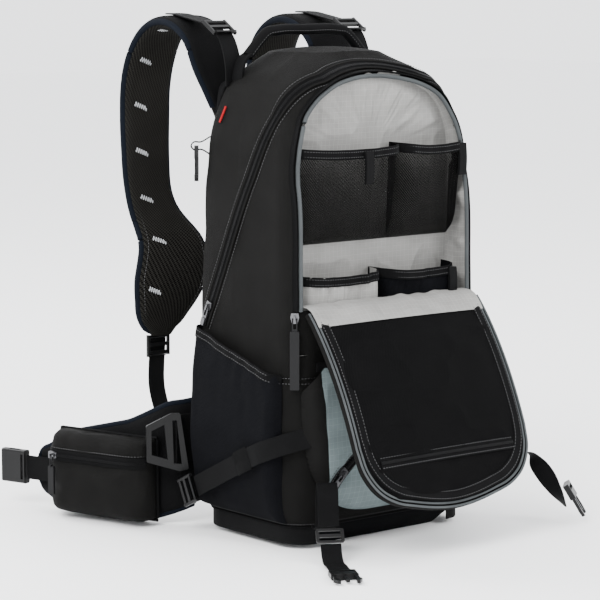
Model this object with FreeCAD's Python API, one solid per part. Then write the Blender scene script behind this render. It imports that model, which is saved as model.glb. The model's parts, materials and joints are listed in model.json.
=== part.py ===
"""Clamshell daypack with a tool organiser, hip belt and padded harness.

Frame: +Z up, +X to the right seen from the outer face, -Y towards the outer face, +Y towards
the wearer. The origin is on the ground under the middle of the base. Millimetres.
"""

import FreeCAD
import Part
import math
import os

V = FreeCAD.Vector

# ---- driving dimensions of the bag ----
BODY_STATIONS = (
    # height, half width, outer face y, back y, front corner radius, rear corner radius
    (0, 96, -70, 58, 26, 34),
    (22, 113, -86, 71, 27, 38),
    (80, 120, -90, 75, 27, 40),
    (160, 121, -90, 75, 27, 40),
    (260, 120, -90, 75, 27, 40),
    (350, 117, -88, 74, 27, 40),
    (412, 107, -81, 70, 30, 38),
    (452, 85, -64, 62, 32, 36),
    (474, 50, -34, 50, 24, 26),
)
SIDE_BULGE_STATIONS = (
    (22, 122, -86, 71, 27, 38),
    (55, 132, -90, 75, 27, 40),
    (95, 137, -90, 75, 27, 40),
    (150, 134, -90, 75, 27, 40),
    (215, 128, -90, 75, 27, 40),
)
SHELL_WALL = 3.0
BOOT_HEIGHT = 22.0
WAIST_HEIGHT = 165.0
ZIP_START = V(0, 47, 203)
ZIP_LEAN = -0.45
FAR = 400.0

# ---- organiser compartment and its flap ----
HINGE_HEIGHT = 233.0
HINGE_Y = -96.0
OPENING_HALF = 109.0
BINDING_WIDTH = 5.0
OPENING_TOP = 451.0
ORGANISER_FLOOR = 190.0
PANEL_Y = -50.0
PANEL_LEAN = -0.045
POCKET_WALL = 1.6
HEM_HEIGHT = 9.0
FLAP_ANGLE = 26.0
FLAP_HALF = 111.0
FLAP_LENGTH = 210.0
FLAP_THICK = 5.0
FLAP_ZIP_AT = 158.0
FLAP_ZIP_HALF = 84.0
GUSSET_END = 30.0

# ---- stash pocket and its arched zip ----
STASH_FRONT = -106.0
ARCH_CENTRE = V(0, 0, -4)
ARCH_RADIUS = 108.0
ARCH_START_DEG = 133.0

# ---- back frame and grab handle ----
SHEET_THICK = 1.8
STAY_THICK = 2.8
HANDLE_Y = 35.0
HANDLE_END_Z = 470.0

# ---- harness ----
STRAP_PATH = ((80, 440), (96, 484), (136, 502), (176, 486), (193, 438), (192, 372),
              (186, 312), (165, 264), (160, 226), (170, 183))
STRAP_THICK = 13.0
STRAP_X = -85.0
STERNUM_Z = 254.0
STERNUM_Y = 177.6
WEB = 1.4
WEB_WIDTH = 20.0

# ---- zip hardware ----
PULL_BACK = 0.4
PULL_LIFT = 2.4
BRIDGE_LIFT = 3.85
MAIN_SLIDER_Z = 226.0
FRONT_SLIDER = (-114.2, -84.2, 226)

# ---- hip belt ----
WING_PATH = ((-98, 84), (-134, 88), (-180, 240))
WING_THICK = 14.0
WING_PIVOT = V(-98, 84, 0)
HIP_POCKET_DEPTH = 32.0
HIP_POCKET_LENGTH = 122.0
HIP_POCKET_HEIGHT = 84.0
HIP_ZIP_Z = 66.0


# ---- general tools ----
def rounded_section(z, half, front, back, r_front, r_back):
    """A closed rounded rectangle at height z, with one radius at the front corners and one at the rear."""
    corners = (
        (half, front, r_front, 1, 1),
        (half, back, r_back, 1, -1),
        (-half, back, r_back, -1, -1),
        (-half, front, r_front, -1, 1),
    )
    arcs = []
    for number, (x, y, r, side, inward) in enumerate(corners):
        centre = V(x - side * r, y + inward * r, z)
        along_x = V(centre.x, y, z)
        along_y = V(x, centre.y, z)
        slant = math.sqrt(0.5) * r
        middle = V(centre.x + side * slant, centre.y - inward * slant, z)
        ends = (along_x, along_y) if number % 2 == 0 else (along_y, along_x)
        arcs.append((ends[0], middle, ends[1]))
    edges = []
    for number, (start, middle, end) in enumerate(arcs):
        edges.append(Part.Arc(start, middle, end).toShape())
        edges.append(Part.LineSegment(end, arcs[(number + 1) % 4][0]).toShape())
    return Part.Wire(edges)


def lofted(stations, inset=0.0):
    """A smooth solid through the stations, smaller all round by inset (larger where it is negative)."""
    wires = []
    last = len(stations) - 1
    for number, (z, half, front, back, r_front, r_back) in enumerate(stations):
        lift = inset if number == 0 else (-inset if number == last else 0.0)
        wires.append(rounded_section(z + lift, half - inset, front + inset, back - inset,
                                     r_front - inset, r_back - inset))
    return Part.makeLoft(wires, True, False)


def prism_x(points, x0, x1):
    """A polygon in the YZ plane, extruded from x0 to x1."""
    corners = [V(x0, y, z) for y, z in points]
    return Part.Face(Part.makePolygon(corners + corners[:1])).extrude(V(x1 - x0, 0, 0))


def prism_y(points, y0, y1):
    """A polygon in the XZ plane, extruded from y0 to y1."""
    corners = [V(x, y0, z) for x, z in points]
    return Part.Face(Part.makePolygon(corners + corners[:1])).extrude(V(0, y1 - y0, 0))


def block(x0, x1, y0, y1, z0, z1):
    """An axis-aligned block between two corners."""
    return Part.makeBox(x1 - x0, y1 - y0, z1 - z0, V(x0, y0, z0))


def mirrored(shape):
    """The same shape on the other side of the YZ plane."""
    return shape.mirror(V(0, 0, 0), V(1, 0, 0))


def placed(shape, origin, x_dir, z_dir):
    """A shape modelled at the origin, moved so that its local X and Z run along the given directions."""
    x_axis = V(*x_dir).normalize()
    y_axis = V(*z_dir).cross(x_axis).normalize()
    z_axis = x_axis.cross(y_axis)
    matrix = FreeCAD.Matrix(
        x_axis.x, y_axis.x, z_axis.x, origin[0],
        x_axis.y, y_axis.y, z_axis.y, origin[1],
        x_axis.z, y_axis.z, z_axis.z, origin[2],
        0, 0, 0, 1)
    return moved(shape, matrix)


def moved(shape, matrix):
    """A copy of a shape with a rigid placement applied."""
    copy = shape.copy()
    copy.Placement = FreeCAD.Placement(matrix)
    return copy


def bend_points(points, radius):
    """Straight runs and the arcs between them, for a path of 2D points with one bend radius."""
    runs = []
    start = V(points[0][0], points[0][1], 0)
    for number in range(1, len(points) - 1):
        before = V(points[number - 1][0], points[number - 1][1], 0)
        corner = V(points[number][0], points[number][1], 0)
        after = V(points[number + 1][0], points[number + 1][1], 0)
        arriving = (corner - before).normalize()
        leaving = (after - corner).normalize()
        turn = arriving.getAngle(leaving)
        reach = min(radius * math.tan(turn / 2), 0.45 * min((corner - before).Length,
                                                            (after - corner).Length))
        actual = reach / math.tan(turn / 2)
        side = 1.0 if arriving.cross(leaving).z > 0 else -1.0
        enter = corner - arriving * reach
        leave = corner + leaving * reach
        centre = enter + V(-arriving.y, arriving.x, 0) * (side * actual)
        runs.append(("line", start, enter))
        runs.append(("arc", enter, leave, centre, actual, side))
        start = leave
    runs.append(("line", start, V(points[-1][0], points[-1][1], 0)))
    return runs


def offset_edges(runs, shift):
    """The path's edges, moved sideways to the left by shift."""
    edges = []
    for run in runs:
        if run[0] == "line":
            along = (run[2] - run[1]).normalize()
            aside = V(-along.y, along.x, 0) * shift
            edges.append(Part.LineSegment(run[1] + aside, run[2] + aside).toShape())
        else:
            _, enter, leave, centre, radius, side = run
            scale = (radius - side * shift) / radius
            start = centre + (enter - centre) * scale
            end = centre + (leave - centre) * scale
            middle = centre + ((enter - centre) + (leave - centre)).normalize() * (radius * scale)
            edges.append(Part.Arc(start, middle, end).toShape())
    return edges


def band(points, radius, thick, low, high):
    """A strip that follows a bent 2D path in the local XY plane, extruded from low to high along local Z."""
    runs = bend_points(points, radius)
    left = offset_edges(runs, thick / 2)
    right = offset_edges(runs, -thick / 2)
    first = Part.LineSegment(right[0].Vertexes[0].Point, left[0].Vertexes[0].Point).toShape()
    last = Part.LineSegment(left[-1].Vertexes[-1].Point, right[-1].Vertexes[-1].Point).toShape()
    wire = Part.Wire(Part.__sortEdges__(left + [last] + right + [first]))
    face = Part.Face(wire)
    face.translate(V(0, 0, low))
    return face.extrude(V(0, 0, high - low))


def band_yz(points, radius, thick, x0, x1):
    """A strip whose bent path lies in the YZ plane, from x0 to x1."""
    return moved(band(points, radius, thick, x0, x1),
                 FreeCAD.Matrix(0, 0, 1, 0, 1, 0, 0, 0, 0, 1, 0, 0, 0, 0, 0, 1))


def band_upright(points, radius, thick, width, origin, heading):
    """A strap whose path rises and falls in the vertical plane through origin along heading."""
    return placed(band(points, radius, thick, -width / 2, width / 2), origin,
                  (heading[0], heading[1], 0), (heading[1], -heading[0], 0))


def group(shapes):
    """Several separate solids as one compound."""
    return Part.makeCompound([solid for shape in shapes for solid in shape.Solids])


def zip_y(z):
    """Where the main zip's plane lies at height z."""
    return ZIP_START.y + ZIP_LEAN * (z - ZIP_START.z)


def panel_y(z):
    """The organiser panel's outer face at height z."""
    return PANEL_Y + PANEL_LEAN * (z - ORGANISER_FLOOR)


# ---- hardware ----
def ladder_lock(width):
    """A ladder-lock buckle: two rails, a rear bar, a middle bar and a raised front lip. Strap along X."""
    half = width / 2 + 1
    rail = block(-11, 11, half, half + 3.4, -1.8, 1.8)
    rail = rail.makeFillet(1.2, [e for e in rail.Edges if abs(e.tangentAt(0).x) > 0.9])
    rear = Part.makeCylinder(1.8, 2 * half + 2, V(-9.2, -half - 1, 0), V(0, 1, 0))
    middle = block(-2.4, 1.2, -half - 1, half + 1, -1.5, 1.5)
    lip = Part.makePolygon([V(6, 0, -1.6), V(9.6, 0, -1.6), V(12.5, 0, 3.4), V(11, 0, 4.2),
                            V(6, 0, 0.6), V(6, 0, -1.6)])
    lip = Part.Face(lip).extrude(V(0, 2 * half + 2, 0))
    lip.translate(V(0, -half - 1, 0))
    return rail.fuse([mirror_y(rail), rear, middle, lip]).removeSplitter()


def mirror_y(shape):
    """The same shape on the other side of the local XZ plane."""
    return shape.mirror(V(0, 0, 0), V(0, 1, 0))


def tri_glide(width):
    """A flat adjuster frame: two webbing slots either side of a middle bar. Strap along X."""
    half = width / 2 + 3.5
    frame = block(-7, 7, -half, half, -1.3, 1.3)
    frame = frame.makeFillet(2.0, [e for e in frame.Edges if abs(e.tangentAt(0).z) > 0.9])
    for x in (-4.9, 1.5):
        frame = frame.cut(block(x, x + 3.4, -width / 2 - 0.8, width / 2 + 0.8, -2, 2))
    return frame


def male_buckle(width):
    """The pronged half of a side-release buckle, prongs along +X, with its webbing slot behind."""
    half = width / 2 + 3
    base = block(-14, 2, -half, half, -3, 3)
    base = base.makeFillet(1.4, [e for e in base.Edges if abs(e.tangentAt(0).x) > 0.9])
    base = base.cut(block(-11, -7, -width / 2 - 0.5, width / 2 + 0.5, -4, 4))
    guide = block(1, 18, -1.6, 1.6, -1.4, 1.4)
    outline = [V(1, half - 5, 0), V(1, half - 1.4, 0), V(12, half - 0.6, 0), V(16, half + 0.6, 0),
               V(22, half - 2.6, 0), V(23, half - 5.4, 0), V(19, half - 5.6, 0),
               V(12, half - 3.4, 0), V(1, half - 5, 0)]
    prong = Part.Face(Part.makePolygon(outline)).extrude(V(0, 0, 3.2))
    prong.translate(V(0, 0, -1.6))
    return base.fuse([guide, prong, mirror_y(prong)]).removeSplitter()


def female_buckle(width, lead_in=0.0):
    """The housing half: a hollow shell with side windows and a webbing bar. Its mouth faces +X.

    The lead-in is how far the mouth's side walls are relieved for the prongs' barbs to run out.
    """
    half = width / 2 + 5
    shell = block(-14, 16, -half, half, -4.6, 4.6)
    shell = shell.makeFillet(2.4, [e for e in shell.Edges if abs(e.tangentAt(0).x) > 0.9])
    cavity = block(-7, 17, -half + 2.2, half - 2.2, -3.4, 3.4)
    window = block(-6, 8, -half - 1, half + 1, -2.4, 2.4)
    slot = block(-12, -9, -width / 2 - 0.5, width / 2 + 0.5, -6, 6)
    relief = block(7, 17, -half + 2.2 - lead_in, half - 2.2 + lead_in, -1.9, 1.9)
    return shell.cut(cavity).cut(window).cut(slot).cut(relief)


def hip_hook():
    """The belt's reducing hook: a trapezium frame with a wide slot, a narrow window and a hooked toe."""
    outline = [V(-21, -19, 0), V(-21, 17, 0), V(4, 29, 0), V(13, 29, 0), V(21, -27, 0), V(12, -29, 0),
               V(-21, -19, 0)]
    frame = Part.Face(Part.makePolygon(outline)).extrude(V(0, 0, 4.4))
    frame.translate(V(0, 0, -2.2))
    frame = frame.makeFillet(1.6, [e for e in frame.Edges if abs(e.tangentAt(0).z) > 0.9])
    narrow = [V(-16, -12, 0), V(-16, 12, 0), V(-3, 18, 0), V(0, -17, 0), V(-16, -12, 0)]
    wide = [V(5, 22, 0), V(9.5, 22, 0), V(14, -22, 0), V(6, -21, 0), V(5, 22, 0)]
    for opening in (narrow, wide):
        cutter = Part.Face(Part.makePolygon(opening)).extrude(V(0, 0, 20))
        cutter.translate(V(0, 0, -10))
        frame = frame.cut(cutter)
    return frame


def zip_slider():
    """A zip slider's upper body with its bridge: travel along X, tape in the XY plane."""
    plate = Part.makePolygon([V(-5, -2.6, 0), V(-5, 2.6, 0), V(1, 4.2, 0), V(5, 3.4, 0), V(5, -3.4, 0),
                              V(1, -4.2, 0), V(-5, -2.6, 0)])
    plate = Part.Face(plate).extrude(V(0, 0, 1.5))
    bridge = block(-3.6, 2.6, -0.9, 0.9, 1.5, 4.4).cut(block(-2.2, 1.4, -1, 1, 1.5, 3.3))
    return plate.fuse(bridge).removeSplitter()


def zip_pull(length, width):
    """A pull that trails along +X: a metal link whose end bar turns inside the slider's bridge, and a grip."""
    link = block(-0.58, 13, -2.6, 2.6, -0.58, 0.58).cut(block(0.58, 9.5, -1.5, 1.5, -1, 1))
    grip = block(12, length, -width / 2, width / 2, -1.3, 1.3)
    grip = grip.makeFillet(1.0, [e for e in grip.Edges if abs(e.tangentAt(0).z) > 0.9])
    return link.fuse(grip).removeSplitter()


def cord_pull(length, width):
    """A pull that hangs along +X from a loop round the bridge's roof, with a flat moulded grip."""
    loop = block(-1.75, 12, -1.65, 1.65, -0.6, 0.6).cut(block(-1.1, 9.5, -1.07, 1.07, -1, 1))
    grip = block(11, length, -1.9, 0.9, -width / 2, width / 2)
    grip = grip.makeFillet(1.0, [e for e in grip.Edges if abs(e.tangentAt(0).y) > 0.9])
    return loop.fuse(grip).removeSplitter()


def trailing_pull(spot, travel, outward, length, width):
    """A pull lying back from a slider at spot, against the face it runs on."""
    back = V(*travel).normalize()
    eye = V(*spot) - back * PULL_BACK + V(*outward).normalize() * PULL_LIFT
    return placed(zip_pull(length, width), eye, tuple(-back), tuple(outward))


# ---- the bag's panels ----
def front_zone():
    """Everything in front of the main zip and above the waist seam."""
    return prism_x(((-FAR, WAIST_HEIGHT), (zip_y(WAIST_HEIGHT), WAIST_HEIGHT), (zip_y(520), 520),
                    (-FAR, 520)), -FAR, FAR)


def opening_wire(y):
    """The organiser opening's arched outline at a given y."""
    half, top = OPENING_HALF, OPENING_TOP
    low_left = V(-half, y, HINGE_HEIGHT)
    low_right = V(half, y, HINGE_HEIGHT)
    left = V(-half, y, top - 68)
    right = V(half, y, top - 68)
    left_top = V(-0.48 * half, y, top - 8)
    right_top = V(0.48 * half, y, top - 8)
    return Part.Wire([
        Part.LineSegment(low_left, left).toShape(),
        Part.Arc(left, V(-0.84 * half, y, top - 25), left_top).toShape(),
        Part.Arc(left_top, V(0, y, top), right_top).toShape(),
        Part.Arc(right_top, V(0.84 * half, y, top - 25), right).toShape(),
        Part.LineSegment(right, low_right).toShape(),
        Part.LineSegment(low_right, low_left).toShape(),
    ])


def bag_panels():
    """The sewn shell: boot, waist, back and front panels, the opening's binding and the main zip."""
    outer = lofted(BODY_STATIONS)
    inner = lofted(BODY_STATIONS, SHELL_WALL)
    shell = outer.cut(inner)
    boot = shell.common(block(-FAR, FAR, -FAR, FAR, -1, BOOT_HEIGHT))
    waist = shell.common(block(-FAR, FAR, -FAR, FAR, BOOT_HEIGHT, WAIST_HEIGHT))
    upper = shell.common(block(-FAR, FAR, -FAR, FAR, WAIST_HEIGHT, 520))
    front = upper.common(front_zone())
    rear = upper.cut(front_zone())
    hole = Part.Face(opening_wire(-FAR)).extrude(V(0, FAR - 46, 0))
    margin = Part.Face(opening_wire(-FAR).makeOffset2D(BINDING_WIDTH)).extrude(V(0, FAR - 46, 0))
    front = front.cut(margin)
    proud = lofted(BODY_STATIONS, -1.2)
    binding = proud.cut(inner).common(margin).cut(hole).common(front_zone())
    tape_slab = prism_x(((zip_y(206) - 5.5, 206), (zip_y(206) + 5.5, 206),
                         (zip_y(520) + 5.5, 520), (zip_y(520) - 5.5, 520)), -FAR, FAR)
    tape = lofted(BODY_STATIONS, -0.9).cut(outer).common(tape_slab).cut(margin)
    return {
        "bottom_boot": boot, "lower_shell": waist, "rear_shell": rear, "front_shell": front,
        "opening_binding": binding, "zip_tapes": tape,
    }, outer, inner


def organiser(inner):
    """The divider, its floor and the four open pockets with their elastic hems and finger tabs."""
    top = OPENING_TOP + 10
    floor = ORGANISER_FLOOR
    divider = prism_x(((panel_y(floor - 3), floor - 3), (panel_y(floor - 3) + 2.5, floor - 3),
                       (panel_y(top) + 2.5, top), (panel_y(top), top)), -FAR, FAR)
    divider = divider.common(inner).common(front_zone())
    shelf = prism_x(((-FAR, floor - 3), (panel_y(floor - 3), floor - 3), (panel_y(floor), floor),
                     (-FAR, floor)), -FAR, FAR).common(inner)
    pockets = {}
    hems = []
    layout = (
        ("mesh_pockets", -108, 25, 300, 386, -80),
        ("mesh_pockets", 27, 108, 300, 386, -80),
        ("lower_pocket_left", -102, 3, floor, 264, -83),
        ("lower_pocket_right", 5, 102, floor, 264, -83),
    )
    for name, x0, x1, z0, z1, front in layout:
        rim = z1 - HEM_HEIGHT
        body = prism_x(((front, z0), (panel_y(z0), z0), (panel_y(rim), rim), (front, rim)), x0, x1)
        hollow = prism_x(((front + POCKET_WALL, z0 + POCKET_WALL), (0, z0 + POCKET_WALL), (0, z1 + 1),
                          (front + POCKET_WALL, z1 + 1)), x0 + POCKET_WALL, x1 - POCKET_WALL)
        pockets[name] = group([pockets[name], body.cut(hollow)] if name in pockets else [body.cut(hollow)])
        returns = ((front + 2, rim), (panel_y(rim), rim), (panel_y(z1), z1), (front + 2, z1))
        hems.append(block(x0 - 0.8, x1 + 0.8, front - 0.8, front + 2, rim, z1))
        hems.append(prism_x(returns, x0 - 0.8, x0 + 2))
        hems.append(prism_x(returns, x1 - 2, x1 + 0.8))
    tabs = []
    for x, z, front in ((-26, 386, -80), (101, 386, -80), (88, 264, -83)):
        tabs.append(block(x - 5, x + 5, front - 2.3, front - 0.9, z - 32, z - 4))
    return {"organiser_panel": group([divider, shelf]), **pockets, "pocket_hems": group(hems + tabs)}


def flap_matrix():
    """The flap's own frame, x to the left, y from hinge to tip, z out of its lining, set at the open angle."""
    lean = math.radians(FLAP_ANGLE)
    s, c = math.sin(lean), math.cos(lean)
    return FreeCAD.Matrix(-1, 0, 0, 0, 0, -s, -c, HINGE_Y, 0, -c, s, HINGE_HEIGHT, 0, 0, 0, 1)


def flap_outline(shrink, z):
    """The flap's arched outline in its own frame, smaller all round by shrink."""
    half = FLAP_HALF - shrink
    near, tip = 3.0 + shrink, FLAP_LENGTH - shrink
    left, right = V(-half, tip - 64, z), V(half, tip - 64, z)
    left_tip, right_tip = V(-0.5 * half, tip - 7, z), V(0.5 * half, tip - 7, z)
    corner_left, corner_right = V(-half, near, z), V(half, near, z)
    return Part.Wire([
        Part.LineSegment(corner_left, left).toShape(),
        Part.Arc(left, V(-0.85 * half, tip - 23, z), left_tip).toShape(),
        Part.Arc(left_tip, V(0, tip, z), right_tip).toShape(),
        Part.Arc(right_tip, V(0.85 * half, tip - 23, z), right).toShape(),
        Part.LineSegment(right, corner_right).toShape(),
        Part.LineSegment(corner_right, corner_left).toShape(),
    ])




def flap_parts():
    """The padded front flap with its zip binding, its inner mesh pocket, and that pocket's zip."""
    core = Part.Face(flap_outline(7, -FLAP_THICK)).extrude(V(0, 0, FLAP_THICK))
    rim = Part.Face(flap_outline(0, -FLAP_THICK)).extrude(V(0, 0, FLAP_THICK + 0.8)).cut(
        Part.Face(flap_outline(7, -FLAP_THICK)).extrude(V(0, 0, FLAP_THICK + 0.8)))
    mesh = Part.Face(flap_outline(7, 0)).extrude(V(0, 0, 1.2))
    gusset = mesh.common(block(-FAR, FAR, 0, GUSSET_END, -1, 2))
    mesh = mesh.cut(block(-FAR, FAR, 0, GUSSET_END, -1, 2))
    slot = block(-FLAP_ZIP_HALF, FLAP_ZIP_HALF, FLAP_ZIP_AT - 6, FLAP_ZIP_AT + 6, -1, 2)
    tape = block(-FLAP_ZIP_HALF, FLAP_ZIP_HALF, FLAP_ZIP_AT - 6, FLAP_ZIP_AT + 6, 0, 1.4)
    slider = placed(zip_slider(), (-74, FLAP_ZIP_AT, 1.6), (-1, 0, 0), (0, 0, 1))
    pull = trailing_pull((-74, FLAP_ZIP_AT, 1.6), (-1, 0, 0), (0, 0, 1), 28, 5.5)
    matrix = flap_matrix()
    return {
        "flap_panel": moved(core, matrix), "flap_binding": moved(rim, matrix),
        "flap_gusset": moved(gusset, matrix),
        "flap_mesh_pocket": moved(mesh.cut(slot), matrix), "flap_zip_tape": moved(tape, matrix),
        "flap_zip_slider": moved_again(slider, matrix), "flap_zip_pull": moved_again(pull, matrix),
    }


def moved_again(shape, matrix):
    """A copy of an already placed shape, carried on by another rigid placement."""
    copy = shape.copy()
    copy.Placement = FreeCAD.Placement(matrix).multiply(copy.Placement)
    return copy


def stash_parts(outer):
    """The low front stash pocket, open at the top, and its arched zip with slider and pull."""
    outline = ((-110, 182), (-106, 80), (-86, 48), (-62, 32), (62, 32), (86, 48), (106, 80), (110, 182))
    slab = prism_y(outline, STASH_FRONT, -60)
    crown = prism_x(((-60, 20), (-98, 20), (STASH_FRONT, 60), (STASH_FRONT, 140), (-98, 184), (-60, 184)),
                    -120, 120)
    pocket = slab.common(crown).cut(outer)
    space = prism_y(((-104, 190), (-100, 84), (-80, 52), (80, 52), (100, 84), (104, 190)),
                    STASH_FRONT + 2.5, -60)
    inside = prism_x(((-60, 30), (-96, 50), (STASH_FRONT + 2.5, 70), (STASH_FRONT + 2.5, 134),
                      (-95.5, 190), (-60, 190)), -120, 120)
    pocket = pocket.cut(space.common(inside))
    arch = []
    for radius in (ARCH_RADIUS - 4.5, ARCH_RADIUS + 4.5):
        arch.append(Part.makeCylinder(radius, 1.0, V(0, STASH_FRONT - 1.0, ARCH_CENTRE.z), V(0, 1, 0)))
    tape = arch[1].cut(arch[0]).common(block(-FAR, FAR, -FAR, FAR, 61, FAR))
    start = math.radians(ARCH_START_DEG)
    spot = V(ARCH_RADIUS * math.cos(start), STASH_FRONT - 1.4, ARCH_CENTRE.z + ARCH_RADIUS * math.sin(start))
    travel = (math.sin(start), 0, -math.cos(start))
    slider = placed(zip_slider(), spot, travel, (0, -1, 0))
    pull = trailing_pull(spot, travel, (0, -1, 0), 20, 5.0)
    return {
        "stash_pocket": pocket, "zip_tapes": tape,
        "stash_zip_slider": slider, "stash_zip_pull": pull,
    }


def side_pocket(outer):
    """The left stretch pocket: a thin bulging wall sewn over the lower side, with a sloping open top."""
    zone = prism_x(((-72, 25), (58, 25), (58, 206), (-72, 169)), -200, 0)
    cavity = prism_x(((-64, 32), (50, 32), (50, 230), (-64, 230)), -200, 0)
    wall = lofted(SIDE_BULGE_STATIONS).cut(outer).common(zone)
    return wall.cut(lofted(SIDE_BULGE_STATIONS, 1.8).common(cavity))


def compression_side():
    """The left compression strap across the side pocket, with its elastic keeper."""
    path = ((-122, -86), (-141.2, -68), (-141.2, 38))
    strap = band(path, 10, WEB, -WEB_WIDTH / 2, WEB_WIDTH / 2)
    keeper = block(-144.2, -142.1, -52, -36, -WEB_WIDTH / 2 - 1.5, WEB_WIDTH / 2 + 1.5)
    bulge = lofted(SIDE_BULGE_STATIONS)
    return [tilted(strap).cut(bulge), tilted(keeper)]


COMPRESSION_DEG = 26.0
COMPRESSION_Z = 66.0


def tilted(shape):
    """Turns a level side piece down towards the back and lifts it to the compression strap's height."""
    copy = shape.copy()
    copy.rotate(V(0, 0, 0), V(1, 0, 0), -COMPRESSION_DEG)
    copy.translate(V(0, 0, COMPRESSION_Z))
    return copy


def compression_lock():
    """The left compression strap's ladder lock, on the strap's rear end."""
    return tilted(placed(ladder_lock(WEB_WIDTH), (-143.2, 51, 0), (0, -1, 0), (-1, 0, 0)))


# ---- back, frame and top ----
def back_parts(outer, inner):
    """Foam back pads and yoke, the frame sheet inside the back and its two alloy stays."""
    pads = [block(-72, 72, 60, 90, 32, 132)]
    for side in (-1, 1):
        x0, x1 = sorted((side * 18, side * 74))
        pads.append(block(x0, x1, 60, 87, 145, 268))
        pads.append(block(x0, x1, 60, 85, 278, 400))
    pads = [pad.makeFillet(5, [e for e in pad.Edges if e.CenterOfMass.y > 80]).cut(outer) for pad in pads]
    yoke = block(-106, 106, 50, 72.6, 408, 446)
    yoke = yoke.makeFillet(6, [e for e in yoke.Edges if e.CenterOfMass.y > 72]).cut(outer)
    within_sheet = lofted(BODY_STATIONS, SHELL_WALL + SHEET_THICK)
    sheet = inner.cut(within_sheet).common(block(-80, 80, 45, 90, 40, 405))
    for row in range(4):
        low = 84 + 76 * row
        sheet = sheet.cut(block(-20, 20, 40, 90, low, low + 44))
    within_stays = lofted(BODY_STATIONS, SHELL_WALL + SHEET_THICK + STAY_THICK)
    slots = group([block(-58, -46, 45, 90, 50, 396), block(46, 58, 45, 90, 50, 396)])
    stays = within_sheet.cut(within_stays).common(slots)
    return {"back_pads": group(pads), "yoke_panel": yoke, "frame_sheet": sheet, "frame_stays": stays}


def grab_handle():
    """The rope-cored grab handle: a tube with a flat top and two bends."""
    runs = bend_points(((-74, HANDLE_END_Z), (-50, 494), (50, 494), (74, HANDLE_END_Z)), 32)
    wire = Part.Wire(offset_edges(runs, 0.0))
    first = runs[0][2] - runs[0][1]
    disc = Part.Wire(Part.makeCircle(5.5, runs[0][1], first))
    tube = wire.makePipeShell([disc], True, True)
    return moved(tube, FreeCAD.Matrix(1, 0, 0, 0, 0, 0, -1, HANDLE_Y, 0, 1, 0, 0, 0, 0, 0, 1))


def sewn_webbing(outer):
    """Webbing that is sewn to the bag: handle ends, strap anchors, clip loop, base tapes, carry loops."""
    pieces = []
    for side in (-1, 1):
        end = block(min(side * 80, side * 94), max(side * 80, side * 94), 27, 43, 440, 474)
        pieces.append(end.cut(outer))
        x0, x1 = sorted((side * (-STRAP_X - 10), side * (-STRAP_X + 10)))
        pieces.append(band_yz(((173, 150), (174, 118), (140, 62), (78, 24)), 40, WEB, x0, x1))
        pieces.append(band_yz(((46, 462), (52, 472)), 1, WEB, x0, x1).cut(outer))
        tape = band(((side * 96, 76), (side * 119, 52), (side * 119, -58), (side * 99, -92)), 18, WEB, 2, 20)
        pieces.append(tape.cut(outer))
    pieces.append(band_upright(((-18, 24.7), (3, 24.7), (5, 66), (13, 70), (18, 38), (20.6, 32.4)), 3.5, WEB,
                               WEB_WIDTH, CARRY_LEFT, CARRY_LEFT_HEADING))
    pieces.append(band_upright(((-8, 78), (24, 77)), 6, WEB, WEB_WIDTH, CARRY_RIGHT, CARRY_RIGHT_HEADING))
    loop = band_upright(((36, 390), (44, 384.8), (52.4, 384.8), (52.4, 378.6), (43, 378.6), (36, 374)), 2.0, 1.2, 6,
                        CLIP_ROOT, CLIP_OUT)
    pieces.append(loop.cut(outer))
    return group(pieces)


# ---- carry straps at the front ----
CARRY_LEFT = (-101, -113, 0)
CARRY_LEFT_HEADING = (-0.5, -0.866)
CARRY_RIGHT = (127, -92, 0)
CARRY_RIGHT_HEADING = (0.658, -0.753)
TAIL_LEFT_PIVOT = (27, 23)
TAIL_RIGHT_PIVOT = (27, 76.8)


def carry_tails():
    """The two free carry straps with the pronged buckle halves on their ends."""
    left = band_upright(((30.6, 17.8), (40, 3.2), (84, 3.2)), 14, WEB, WEB_WIDTH, CARRY_LEFT,
                        CARRY_LEFT_HEADING)
    right = band_upright(((41, 71.6), (52, 67), (84, 16)), 20, WEB, WEB_WIDTH, CARRY_RIGHT,
                         CARRY_RIGHT_HEADING)
    lx, ly = CARRY_LEFT_HEADING
    rx, ry = CARRY_RIGHT_HEADING
    spot = (CARRY_LEFT[0] + 99 * lx, CARRY_LEFT[1] + 99 * ly, 3.1)
    left_buckle = placed(male_buckle(WEB_WIDTH), spot, (lx, ly, 0), (0, 0, 1))
    fall = (rx * 0.52, ry * 0.52, -0.854)
    spot = (CARRY_RIGHT[0] + 84 * rx + fall[0] * 15, CARRY_RIGHT[1] + 84 * ry + fall[1] * 15,
            16 + fall[2] * 15 + 24)
    right_buckle = placed(male_buckle(WEB_WIDTH), spot, fall, (rx * 0.854, ry * 0.854, 0.52))
    left_glide = upright_glide((26.2, 24.6), (0.57, -0.82), CARRY_LEFT, CARRY_LEFT_HEADING)
    right_glide = upright_glide((33.0, 74.6), (0.94, -0.34), CARRY_RIGHT, CARRY_RIGHT_HEADING)
    return {"carry_strap_left": left, "carry_buckle_left": group([left_buckle, left_glide]),
            "carry_strap_right": right, "carry_buckle_right": group([right_buckle, right_glide])}


def upright_glide(at, slope, origin, heading):
    """A tri-glide set square across a strap that runs in the upright plane through origin."""
    hx, hy = heading
    spot = (origin[0] + at[0] * hx, origin[1] + at[0] * hy, at[1])
    run = (slope[0] * hx, slope[0] * hy, slope[1])
    facing = (-slope[1] * hx, -slope[1] * hy, slope[0])
    return placed(tri_glide(WEB_WIDTH), spot, run, facing)


# ---- accessory clip ----
CLIP_OUT = (-0.766, 0.643)
CLIP_ALONG = (-0.643, -0.766, 0)
CLIP_FACING = (-0.766, 0.643, 0)
CLIP_ROOT = (-79, 34, 0)
CLIP_EYE = V(-79 - 0.766 * 48, 34 + 0.643 * 48, 379)


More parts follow.
